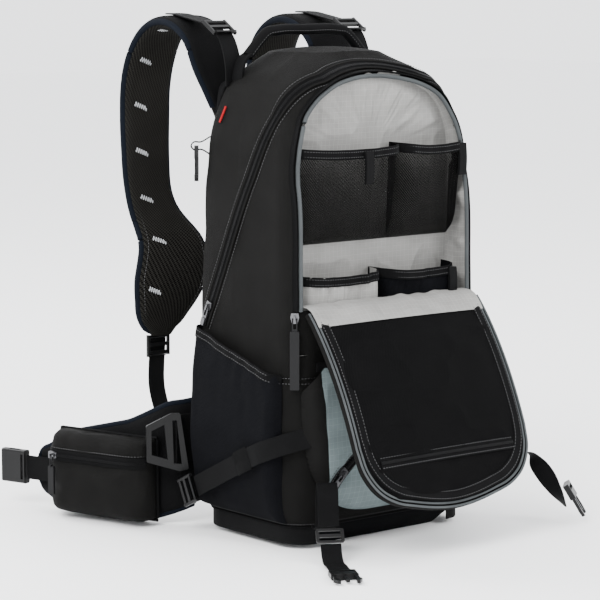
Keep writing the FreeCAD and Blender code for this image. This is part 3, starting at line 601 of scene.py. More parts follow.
def ring_loft(rings: Array, closed_ends: bool = True) -> Skin:
    """A tube-like skin through (rows, columns, 3) rings, whose last column meets the first.

    Args:
        rings: the rings, each an open list of points round a section.
        closed_ends: whether both ends are gathered to their middles.

    Returns:
        The skin.
    """
    rings = np.concatenate([rings, rings[:, :1]], axis=1)
    if closed_ends:
        first = np.repeat(rings[:1].mean(axis=1, keepdims=True), rings.shape[1], axis=1)
        last = np.repeat(rings[-1:].mean(axis=1, keepdims=True), rings.shape[1], axis=1)
        rings = np.concatenate([first, rings, last])
    return Skin.grid(rings)


def sections(path: Array, side: Array, outline: Array, size: Array | None = None) -> Array:
    """Rings of a 2-D outline set square to a path.

    Args:
        path: (n, 3) centre line.
        side: (n, 3) or (3,) directions of the outline's first coordinate.
        outline: (m, 2) points; the second coordinate runs along path's other normal.
        size: (n, 2) scale of the outline at each point, or None.

    Returns:
        The (n, m, 3) rings.
    """
    tangent = unit(np.gradient(path, axis=0))
    side = np.broadcast_to(np.asarray(side, float), path.shape)
    side = unit(side - (side * tangent).sum(axis=1, keepdims=True) * tangent)
    normal = np.cross(tangent, side)
    scale = np.ones((len(path), 2)) if size is None else size
    return (path[:, None] + side[:, None] * (outline[None, :, :1] * scale[:, None, :1])
            + normal[:, None] * (outline[None, :, 1:] * scale[:, None, 1:]))


def oval(width: float, thick: float, count: int = 20, power: float = 4.0) -> Array:
    """A superellipse: cosine and sine, each raised to 2 over power, scaled to its size.

    Args:
        width: its width.
        thick: its thickness.
        count: points round it.
        power: 2 for an ellipse, more for squarer corners.

    Returns:
        The (count, 2) points.
    """
    a = np.linspace(0, 2 * np.pi, count, endpoint=False)
    c, s = np.cos(a), np.sin(a)
    return np.stack([np.sign(c) * np.abs(c) ** (2 / power) * width / 2,
                     np.sign(s) * np.abs(s) ** (2 / power) * thick / 2], axis=1)


def strap(points: Sequence, width: float, side: Sequence, thick: float = 1.5, count: int = 90) -> Skin:
    """A length of webbing along control points.

    Args:
        points: (n, 3) control points.
        width: its width.
        side: the direction across the webbing, one vector or one per control point.
        thick: its thickness.
        count: samples along it.

    Returns:
        The skin.
    """
    rows = np.asarray(points, float)
    sides = np.broadcast_to(np.asarray(side, float), rows.shape)
    joined = np.concatenate([rows, sides], axis=1)
    line = smooth_line(joined, count)
    rings = sections(line[:, :3], line[:, 3:], oval(width, thick, 20, 8.0))
    skin = ring_loft(rings)
    cols = rings.shape[1] + 1
    local = np.concatenate([oval(width, thick, 20, 8.0)[:, 0], [width / 2]])
    skin.uv[:, 0] = np.tile(local, len(skin.uv) // cols)
    return skin


def tube(path: Array, radius: float | Array, count: int = 12) -> Skin:
    """A round cord: circles square to a path.

    Args:
        path: its (n, 3) middle line.
        radius: one radius, or one per point.
        count: points round it.

    Returns:
        The skin.
    """
    reach = np.asarray(radius, float) * np.ones(len(path))
    tangent = unit(np.gradient(path, axis=0))
    helper = np.where(np.abs(tangent[:, 2:3]) > 0.9, [[1.0, 0, 0]], [[0, 0, 1.0]])
    side = unit(np.cross(tangent, helper))
    circle = oval(2, 2, count, 2.0)
    return ring_loft(sections(path, side, circle, np.stack([reach, reach], axis=1)))


def stitches(path: Array, normal: Array, pitch: float = 3.2, size: float = 0.45) -> Skin:
    """A row of small raised stitches along a path lying on a surface.

    Args:
        path: (n, 3) points on the surface.
        normal: (n, 3) or (3,) surface normals.
        pitch: distance between stitches.
        size: half width of a stitch.

    Returns:
        The skin of all of them.
    """
    length = run_length(path)
    count = max(2, int(length[-1] / pitch))
    at = (np.arange(count) + 0.5) * length[-1] / count
    normal = np.broadcast_to(np.asarray(normal, float), path.shape)
    centre = np.stack([np.interp(at, length, path[:, k]) for k in range(3)], axis=1)
    facing = unit(np.stack([np.interp(at, length, normal[:, k]) for k in range(3)], axis=1))
    ahead = np.stack([np.interp(at + 0.1, length, path[:, k]) for k in range(3)], axis=1)
    behind = np.stack([np.interp(at - 0.1, length, path[:, k]) for k in range(3)], axis=1)
    run = unit(ahead - behind)
    across = np.cross(facing, run)
    half = pitch * 0.33
    shape = np.array([[-1, 0, 0], [-0.7, 1, 0], [0.7, 1, 0], [1, 0, 0], [0.7, -1, 0], [-0.7, -1, 0],
                      [-0.6, 0, 1], [0.6, 0, 1]])
    faces = np.array([[0, 1, 6], [1, 2, 6], [2, 7, 6], [2, 3, 7], [3, 4, 7], [4, 5, 7], [5, 6, 7], [5, 0, 6]])
    points = (centre[:, None] + run[:, None] * shape[None, :, :1] * half
              + across[:, None] * shape[None, :, 1:2] * size + facing[:, None] * shape[None, :, 2:] * size)
    all_faces = (faces[None] + (np.arange(count) * len(shape))[:, None, None]).reshape(-1, 3)
    return Skin(points.reshape(-1, 3), all_faces[:, ::-1], np.zeros((count * len(shape), 2)))


class Workshop:
    """Turns skins into Blender objects that ride on the CAD bodies."""

    def __init__(self) -> None:
        self.materials = MaterialShop()

    def make(self, name: str, skin: Skin, finish: Finish, body: str | None = "pack",
             replaces: Sequence[str] = (), crease: float = 50.0) -> bpy.types.Object:
        """Adds a piece to the scene.

        Args:
            name: the piece's name.
            skin: its mesh.
            finish: its finish.
            body: the CAD body it rides on, or None where the caller blends it.
            replaces: CAD nodes it stands for.
            crease: the angle in degrees above which an edge stays sharp.

        Returns:
            The new object.
        """
        mesh = bpy.data.meshes.new(name)
        size = skin.faces.shape[1]
        mesh.vertices.add(len(skin.points))
        mesh.vertices.foreach_set("co", (skin.points * MM).astype(np.float32).ravel())
        mesh.loops.add(skin.faces.size)
        mesh.loops.foreach_set("vertex_index", skin.faces.astype(np.int32).ravel())
        mesh.polygons.add(len(skin.faces))
        mesh.polygons.foreach_set("loop_start", np.arange(0, skin.faces.size, size, dtype=np.int32))
        mesh.polygons.foreach_set("loop_total", np.full(len(skin.faces), size, np.int32))
        layer = mesh.uv_layers.new(name="Weave")
        layer.data.foreach_set("uv", (skin.uv * MM)[skin.faces.ravel()].astype(np.float32).ravel())
        mesh.polygons.foreach_set("use_smooth", np.ones(len(skin.faces), bool))
        mesh.update(calc_edges=True)
        mesh.validate()
        mesh.set_sharp_from_angle(angle=math.radians(crease))
        mesh.materials.append(self.materials.get(finish))
        LOG.info("made %s with %d faces", name, len(skin.faces))
        obj = bpy.data.objects.new(name, mesh)
        bpy.context.scene.collection.objects.link(obj)
        if body:
            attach(obj, body)
        if replaces:
            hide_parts(*replaces)
        return obj


@dataclass(frozen=True)
class Stuffing:
    """How a padded piece is filled by cloth simulation.

    Args:
        voxel: size of the cloth's cells, in millimetres.
        pressure: the pressure inside.
        cap: the furthest that a point may move, in millimetres.
        frames: how many frames the cloth settles for.
    """

    voxel: float = 5.0
    pressure: float = 4.0
    cap: float = 5.0
    frames: int = 20

    def fill(self, skin: Skin, loose: Callable[[Array], Array]) -> Skin:
        """Swells a closed skin like a stuffed pad, and rounds it with one subdivision.

        Args:
            skin: the closed skin.
            loose: from points to how freely each may move, 0 to 1.

        Returns:
            The stuffed skin, without weave coordinates.
        """
        cells = self._modified(skin, "REMESH", mode="VOXEL", voxel_size=self.voxel * MM, use_smooth_shade=True)
        mesh = self._mesh(cells)
        obj = bpy.data.objects.new("stuffing", mesh)
        bpy.context.scene.collection.objects.link(obj)
        cloth = obj.modifiers.new("cloth", "CLOTH")
        cloth.settings.quality = 5
        cloth.settings.use_pressure = True
        cloth.settings.uniform_pressure_force = self.pressure
        cloth.settings.effector_weights.gravity = 0
        cloth.point_cache.frame_start = 1
        cloth.point_cache.frame_end = self.frames
        for frame in range(1, self.frames + 1):
            bpy.context.scene.frame_set(frame)
        swollen = self._points(obj.evaluated_get(bpy.context.evaluated_depsgraph_get()).data)
        bpy.data.objects.remove(obj)
        bpy.context.scene.frame_set(1)
        shift = swollen - cells.points
        reach = np.linalg.norm(shift, axis=1, keepdims=True)
        limit = self.cap * loose(cells.points)[:, None]
        moved = cells.points + shift * np.minimum(1, limit / np.maximum(reach, 1e-9))
        return self._modified(Skin(moved, cells.faces, cells.uv), "SUBSURF", levels=1, render_levels=1)

    def _modified(self, skin: Skin, kind: str, **settings) -> Skin:
        """A skin after one modifier.

        Args:
            skin: the skin.
            kind: the modifier's type.
            settings: its settings.

        Returns:
            The new skin, in quads.
        """
        obj = bpy.data.objects.new("shape", self._mesh(skin))
        bpy.context.scene.collection.objects.link(obj)
        modifier = obj.modifiers.new("shape", kind)
        for key, value in settings.items():
            setattr(modifier, key, value)
        data = obj.evaluated_get(bpy.context.evaluated_depsgraph_get()).data
        points = self._points(data)
        corners = np.empty(len(data.loops), np.int32)
        data.loops.foreach_get("vertex_index", corners)
        bpy.data.objects.remove(obj)
        return Skin(points, corners.reshape(-1, 4), np.zeros((len(points), 2)))

    @staticmethod
    def _mesh(skin: Skin) -> bpy.types.Mesh:
        """A plain Blender mesh of a skin."""
        mesh = bpy.data.meshes.new("stuffing")
        mesh.from_pydata((skin.points * MM).tolist(), [], skin.faces.tolist())
        return mesh

    @staticmethod
    def _points(mesh: bpy.types.Mesh) -> Array:
        """A mesh's points in millimetres.

        Args:
            mesh: the mesh.

        Returns:
            The (n, 3) points.
        """
        flat = np.empty(len(mesh.vertices) * 3, np.float32)
        mesh.vertices.foreach_get("co", flat)
        return flat.reshape(-1, 3).astype(float) / MM


# ------------------------------------------------------------------ the bag's form, in millimetres
BODY_STATIONS = np.array([
    (0, 96, -70, 58, 26, 34), (22, 113, -86, 71, 27, 38), (80, 120, -90, 75, 27, 40), (160, 121, -90, 75, 27, 40),
    (260, 120, -90, 75, 27, 40), (350, 117, -88, 74, 27, 40), (412, 107, -81, 70, 30, 38),
    (452, 85, -64, 62, 32, 36), (474, 50, -34, 50, 24, 26)], float)
BULGE_STATIONS = np.array([(22, 122), (55, 132), (95, 137), (150, 134), (215, 128)], float)
BOOT_TOP, WAIST, TOP = 22.0, 165.0, 474.0
HINGE_Z, HINGE_Y = 233.0, -96.0
ORGANISER_FLOOR = 190
ZIP_FOOT_Y, ZIP_FOOT_Z, ZIP_SLOPE = 47, 203, 0.45
FLAP_LEAN = math.radians(26)
FLAP_AXES = np.array([[-1, 0, 0], [0, -math.sin(FLAP_LEAN), -math.cos(FLAP_LEAN)],
                      [0, -math.cos(FLAP_LEAN), math.sin(FLAP_LEAN)]])


def zip_y(z: Array) -> Array:
    """The main zip's plane: its y at a height falls steadily towards the top."""
    return ZIP_FOOT_Y - ZIP_SLOPE * (z - ZIP_FOOT_Z)


def panel_y(z: Array) -> Array:
    """The organiser panel's plane: its y at a height leans forward towards the top."""
    return -50 - 0.045 * (z - ORGANISER_FLOOR)


def opening_outline(low: float, grow: float = 0.0, count: int = 40) -> Array:
    """The organiser opening's arched outline in x and z, from low left over the top to low right.

    Args:
        low: height of both lower ends.
        grow: how much larger it is all round.
        count: samples on each arc.

    Returns:
        The (n, 2) points.
    """
    rows = np.array([(-107.5, 352), (-106, 372), (-101.5, 394), (-93, 414), (-79, 430), (-58, 441.5),
                     (-30, 448.5), (0, 451)], float)
    rows = np.concatenate([rows, rows[:-1][::-1] * [-1, 1]])
    away = unit(rows - [0, 352])
    arch = smooth_line(rows + away * grow, count * 2)
    rise = np.linspace(low, arch[0, 1], count, endpoint=False)
    bow = (rise - 233) / 119
    left = np.stack([arch[0, 0] - 0.5 * (1 - bow), rise], axis=1)
    right = left[::-1] * [-1, 1]
    return np.concatenate([left, arch, right])


def to_world(local: Array) -> Array:
    """Points of the flap's own frame, set at its open angle."""
    return np.asarray(local, float) @ FLAP_AXES + [0, HINGE_Y, HINGE_Z]


class BodyForm:
    """The bag's smooth outer form: sections with rounded corners, blended over the height."""

    COUNTS = (10, 12, 34, 10, 60, 10, 34, 12, 10)

    def row(self, z: Array) -> Array:
        """The section's five measures at heights z."""
        s = BODY_STATIONS
        return hermite(s[:, 0], s[:, 1:], np.gradient(s[:, 1:], s[:, 0], axis=0), np.asarray(z, float).ravel())

    def rings(self, z: Array) -> Array:
        """Closed sections: rectangles with their corners rounded by quarter circles, from the middle of the back.

        Args:
            z: the heights.

        Returns:
            The (heights, points, 3) grid.
        """
        half, front, back, rf, rb = self.row(z).T[:, :, None]
        parts = []
        for k, count in enumerate(self.COUNTS):
            t = (np.arange(count) / count)[None]
            turn = t * np.pi / 2
            if k == 0:
                x, y = -(half - rb) * t, back + 0 * t
            elif k == 1:
                x, y = -(half - rb) - rb * np.sin(turn), back - rb + rb * np.cos(turn)
            elif k == 2:
                x, y = -half + 0 * t, (back - rb) * (1 - t) + (front + rf) * t
            elif k == 3:
                x, y = -(half - rf) - rf * np.cos(turn), front + rf - rf * np.sin(turn)
            elif k == 4:
                x, y = (half - rf) * (2 * t - 1), front + 0 * t
            elif k == 5:
                x, y = half - rf + rf * np.sin(turn), front + rf - rf * np.cos(turn)
            elif k == 6:
                x, y = half + 0 * t, (front + rf) * (1 - t) + (back - rb) * t
            elif k == 7:
                x, y = half - rb + rb * np.cos(turn), back - rb + rb * np.sin(turn)
            else:
                x, y = (half - rb) * (1 - t), back + 0 * t
            parts.append(np.stack([x, y], axis=-1))
        flat = np.concatenate(parts, axis=1)
        flat = np.concatenate([flat, flat[:, :1]], axis=1)
        height = np.asarray(z, float).ravel()[:, None, None] * np.ones((1, flat.shape[1], 1))
        return np.concatenate([flat, height], axis=-1)

    def front(self, x: Array, z: Array) -> Array:
        """The front surface: flat in the middle, a quarter circle at each corner.

        Args:
            x: distance from the middle.
            z: height.

        Returns:
            Its y.
        """
        x, z = np.broadcast_arrays(np.asarray(x, float), np.asarray(z, float))
        half, front, _, rf, _ = (m.reshape(z.shape) for m in self.row(z.ravel()).T)
        over = np.clip((np.abs(x) - (half - rf)) / rf, 0, 0.98)
        return front + rf * (1 - np.sqrt(1 - over ** 2))

    def front_normal(self, x: Array, z: Array) -> Array:
        """The front surface's outward normals, from its slopes.

        Args:
            x: distance from the middle.
            z: height.

        Returns:
            Unit vectors.
        """
        across = (self.front(x + 1, z) - self.front(x - 1, z)) / 2
        up = (self.front(x, z + 1) - self.front(x, z - 1)) / 2
        return unit(np.stack([across, np.full_like(across, -1.0), up], axis=-1))

    def side(self, y: Array, z: Array) -> Array:
        """The side surface: flat in the middle, a quarter circle at each corner.

        Args:
            y: distance towards the back.
            z: height.

        Returns:
            Its distance from the middle.
        """
        y, z = np.broadcast_arrays(np.asarray(y, float), np.asarray(z, float))
        half, front, back, rf, rb = (m.reshape(z.shape) for m in self.row(z.ravel()).T)
        ahead = np.clip((front + rf - y) / rf, 0, 0.98)
        behind = np.clip((y - back + rb) / rb, 0, 0.98)
        return half - rf * (1 - np.sqrt(1 - ahead ** 2)) - rb * (1 - np.sqrt(1 - behind ** 2))

    def back(self, x: Array, z: Array) -> Array:
        """The back surface: flat in the middle, a quarter circle at each corner.

        Args:
            x: distance from the middle.
            z: height.

        Returns:
            Its y.
        """
        x, z = np.broadcast_arrays(np.asarray(x, float), np.asarray(z, float))
        half, _, back, _, rb = (m.reshape(z.shape) for m in self.row(z.ravel()).T)
        over = np.clip((np.abs(x) - (half - rb)) / rb, 0, 0.98)
        return back - rb * (1 - np.sqrt(1 - over ** 2))


def grid_normals(points: Array) -> Array:
    """Unit normals of a (rows, columns, 3) grid, rows across columns."""
    return unit(np.cross(np.gradient(points, axis=1), np.gradient(points, axis=0)))


def pad_strip(path: Array, across: Array, low: Array, high: Array, thick: float, power: float = 3.0,
              columns: int = 44) -> tuple[Skin, Array]:
    """A padded strip that follows a path, with its own edge limits along it.

    Args:
        path: (n, 3) middle of its thickness; its coordinate along across is ignored.
        across: unit direction across the strip.
        low: (n,) lower edge, measured along across.
        high: (n,) upper edge.
        thick: thickness at the middle.
        power: how square its section is.
        columns: points round a section.

    Returns:
        The skin, and one number per point that is above zero on the side of cross(path, across).
    """
    across = np.asarray(across, float)
    flat = path - (path @ across)[:, None] * across
    normal = unit(np.cross(np.gradient(flat, axis=0), across))
    a = np.linspace(0, 2 * np.pi, columns, endpoint=False)
    c = np.sign(np.cos(a)) * np.abs(np.cos(a)) ** (2 / (power + 3))
    s = np.sign(np.sin(a)) * np.abs(np.sin(a)) ** (2 / power)
    middle, half = (low + high) / 2, (high - low) / 2
    rings = (flat[:, None] + across * (middle[:, None] + half[:, None] * c)[..., None]
             + normal[:, None] * (s * thick / 2)[None, :, None])
    skin = ring_loft(rings)
    face = np.tile(np.concatenate([s, s[:1]]), len(skin.points) // (columns + 1))
    skin.uv[:, 0] = np.tile(np.concatenate([c, c[:1]]), len(face) // (columns + 1)) * 30
    return skin, face


def softened(outline: Array, count: int, reach: int) -> Array:
    """A closed polygon resampled evenly, its corners rounded by a running mean.

    Args:
        outline: (n, 2) corners.
        count: samples round it.
        reach: samples each way in the mean.

    Returns:
        The (count, 2) points.
    """
    ring = np.concatenate([outline, outline[:1]])
    length = run_length(ring)
    at = np.linspace(0, length[-1], count, endpoint=False)
    line = np.stack([np.interp(at, length, ring[:, k]) for k in range(2)], axis=1)
    kernel = np.ones(2 * reach + 1) / (2 * reach + 1)
    padded = np.concatenate([line[-reach:], line, line[:reach]])
    return np.stack([np.convolve(padded[:, k], kernel, "valid") for k in range(2)], axis=1)


def pillow(u: Array, v: Array, power: float = 6.0, shoulder: float = 0.4) -> Array:
    """A cushion's height over -1 to 1 squares: 1 in the middle, 0 at the rim."""
    return (np.clip(1 - np.abs(u) ** power, 0, 1) * np.clip(1 - np.abs(v) ** power, 0, 1)) ** shoulder


# ------------------------------------------------------------------ the pieces


@dataclass
class Assembly:
    """What every sub-assembly is built with.

    Args:
        shop: makes the pieces.
        form: the bag's outer form.
    """

    shop: Workshop
    form: BodyForm

    def pair(self, name: str, skin: Skin, finish: Finish, replaces: Sequence[str] = (), body: str = "pack") -> None:
        """Makes a left piece and its mirrored right twin, each on its own side's body.

        Args:
            name: the pieces' name, without the side.
            skin: the left piece's mesh.
            finish: their finish.
            replaces: the CAD nodes the left one stands for; the right one takes those with
                "left" turned to "right".
            body: the left piece's body.
        """
        self.shop.make(name + "_left", skin, finish, body, replaces)
        right = [r.replace("_left", "_right") for r in replaces if "_left" in r]
        self.shop.make(name + "_right", skin.mirrored(), finish, body.replace("left", "right"), right)

    def pair_on_one(self, name: str, skin: Skin, finish: Finish, body: str) -> None:
        """Makes a left piece and its mirrored twin that both ride one body."""
        self.shop.make(name + "_left", skin, finish, body)
        self.shop.make(name + "_right", skin.mirrored(), finish, body)


@dataclass
class Shell(Assembly):
    """The bag's cloth shell: boot, waist, back and front panels, and the main zip.

    Args:
        wave: height of the slow waves in the cloth, in millimetres.
        ripple: height of the smaller waves.
        fold: height of the sharp folds.
        seam_dip: how far a seam draws the cloth in.
        crown: how far the top is domed.
        tape: the main zip tape's width.
        coil: the zip coil's width.
        clearance: how far the main zip stays outside the opening.
    """

    wave: float = 1.6
    ripple: float = 0.7
    fold: float = 1.3
    seam_dip: float = 1.3
    crown: float = 4.5
    tape: float = 12.5
    coil: float = 3.4
    clearance: float = 10.5

    def build(self) -> None:
        """Makes the panels as one relief over the form, cut apart along their seams."""
        z = np.concatenate([np.linspace(0, 30, 14), np.linspace(32, 150, 60), np.linspace(152, 180, 18),
                            np.linspace(182, TOP, 180)])
        base = self.form.rings(z)
        normal = -grid_normals(base)
        outward = (normal * (base - base.mean(axis=1, keepdims=True))).sum(-1, keepdims=True)
        normal = normal * np.sign(outward.mean())
        x, y, height = base[..., 0], base[..., 1], base[..., 2]
        soft = self.wave * value_noise(base, 60, 3) + self.ripple * value_noise(base, 23, 5)
        folds = self.fold * creases(base, (1, 1, 2.6), 34, 9) * np.clip(value_noise(base, 80, 11) + 0.3, 0, 1)
        seam = np.minimum.reduce([np.abs(height - BOOT_TOP), np.abs(height - WAIST)])
        track = np.abs(y - zip_y(height)) / math.hypot(1, ZIP_SLOPE) + np.where(height < 200, FAR, 0)
        rim = np.where(y < 0, np.abs(edge_distance(base[..., [0, 2]], opening_outline(HINGE_Z))), FAR)
        near = np.minimum.reduce([seam, track, rim])
        rise = (soft + folds) * np.clip(near / 14, 0, 1) - self.seam_dip * np.exp(-(seam / 2.6) ** 2)
        rise = rise * np.clip(height / 12, 0, 1)
        points = base + normal * rise[..., None]
        cap = self._cap(points[-1], 22, self.crown)
        foot = self._cap(points[0], 14, 0.0)
        across = np.cumsum(np.linalg.norm(np.diff(base, axis=1, prepend=base[:, :1]), axis=2), axis=1)
        uv = np.stack([across, height], axis=-1)
        skin = Skin.grid(points, uv, flip=True)
        outside = -edge_distance(base[..., [0, 2]], opening_outline(HINGE_Z, 1.0))
        field_of = {
            "boot": BOOT_TOP - height,
            "waist": np.minimum(height - BOOT_TOP, WAIST - height),
            "back": np.minimum(height - WAIST, y - zip_y(height)),
            "front": np.minimum.reduce([height - WAIST, zip_y(height) - y, np.where(y < 0, outside, 9.0)]),
        }
        part = {key: skin.kept(value.ravel()) for key, value in field_of.items()}
        self.shop.make("boot", Skin.joined([part["boot"], foot]), BOOT, replaces=["bottom_boot"])
        self.shop.make("waist_panel", part["waist"], NYLON, replaces=["lower_shell"])
        crown = cap.kept(cap.points[:, 1] - zip_y(cap.points[:, 2]))
        self.shop.make("back_panel", Skin.joined([part["back"], crown]), NYLON, replaces=["rear_shell"])
        self.shop.make("front_panel", part["front"], NYLON, replaces=["front_shell"])
        self._seams(base, normal)

    @staticmethod
    def _cap(ring: Array, count: int, lift: float) -> Skin:
        """A cover inside a ring, which rises by lift times one minus the squared distance from its middle.

        Args:
            ring: the ring it closes.
            count: rows from the ring to the middle.
            lift: the middle's rise.

        Returns:
            The cover.
        """
        s = np.linspace(1, 0, count)[:, None, None]
        middle = ring.mean(axis=0)
        points = middle + (ring[None] - middle) * s
        points[..., 2] += lift * (1 - s[..., 0] ** 2)
        return Skin.grid(points, points[..., :2], flip=True).triangulated()

    def _seams(self, base: Array, normal: Array) -> None:
        """Makes the main zip's tape, coil and lips, and the stitched lines round the boot and waist.

        Args:
            base: the form's grid of points.
            normal: the grid's unit normals.
        """
        side = base[..., 1] - zip_y(base[..., 2])
        crosses = (side[:-1] <= 0) & (side[1:] > 0) & (base[1:, :, 2] > 205)
        has = crosses.any(axis=0)
        cols = np.flatnonzero(has)
        rows = crosses.argmax(axis=0)[cols]
        t = (side[rows, cols] / (side[rows, cols] - side[rows + 1, cols]))[:, None]
        path = base[rows, cols] * (1 - t) + base[rows + 1, cols] * t
        facing = unit(normal[rows, cols] * (1 - t) + normal[rows + 1, cols] * t)
        arch = opening_outline(HINGE_Z, self.clearance)[40:-40]
        least = np.where(np.abs(path[:, 0]) < 100, np.interp(path[:, 0], arch[:, 0], arch[:, 1]), 0)
        lift = least > path[:, 2]
        path[lift, 2] = least[lift]
        path[lift, 1] = self.form.front(path[lift, 0], path[lift, 2])
        facing[lift] = self.form.front_normal(path[lift, 0], path[lift, 2])
        line = smooth_line(np.concatenate([path, facing], axis=1), 300)
        path, facing = line[:, :3], unit(line[:, 3:])
        across = unit(np.cross(np.gradient(path, axis=0), facing))
        tape = ring_loft(sections(path + facing * 0.5, across, oval(self.tape, 1.4, 16, 6)))
        coil = ring_loft(sections(path + facing * 1.3, across, oval(self.coil, 1.3, 12, 3)))
        lips = [tube(path + facing * 0.9 + across * k * 5.6, 1.15, 8) for k in (-1, 1)]
        rows_of = Skin.joined([stitches(path + facing * 0.9 + across * k, facing) for k in (-9.5, 9.5)])
        self.shop.make("main_zip_tape", tape, TAPE_BLACK, replaces=["zip_tapes"])
        self.shop.make("main_zip_coil", coil, COIL)
        self.shop.make("main_zip_lips", Skin.joined(lips), NYLON)
        self.shop.make("main_zip_stitching", rows_of, THREAD)
        rings = self.form.rings(np.array([BOOT_TOP + 2.6, WAIST - 2.6, WAIST + 2.6]))
        lines = []
        for ring in rings:
            out = unit((ring - ring.mean(axis=0)) * [1, 1, 0])
            lines.append(stitches(ring + out * 0.2, out))
        piping = tube(self.form.rings(np.array([BOOT_TOP]))[0], 1.3, 8)
        self.shop.make("seam_stitching", Skin.joined(lines), THREAD)
        self.shop.make("boot_piping", piping, TAPE_BLACK)


@dataclass(frozen=True)
class PocketSpec:
    """One organiser pocket.

    Args:
        name: the piece's name.
        left: its left edge, in millimetres.
        right: its right edge.
        bottom: its bottom.
        top: the top of its hem.
        finish: its cloth.
        seed: for its folds.
        replaces: the CAD nodes it stands for.
        depth: how far its mouth stands off the divider.
    """

    name: str
    left: float
    right: float
    bottom: float
    top: float
    finish: Finish
    seed: int
    replaces: tuple[str, ...]
    depth: float


ORGANISER_POCKETS = (
    PocketSpec("mesh_pocket_left", -108, 26, 291, 386, MESH, 41, ("mesh_pockets",), 26),
    PocketSpec("mesh_pocket_right", 26, 108, 291, 386, MESH, 51, (), 26),
    PocketSpec("lower_pocket_grey", -102, 4, 190, 264, LINER, 61, ("lower_pocket_left",), 29),
    PocketSpec("lower_pocket_black", 4, 102, 190, 264, STRETCH, 71, ("lower_pocket_right",), 29),
)


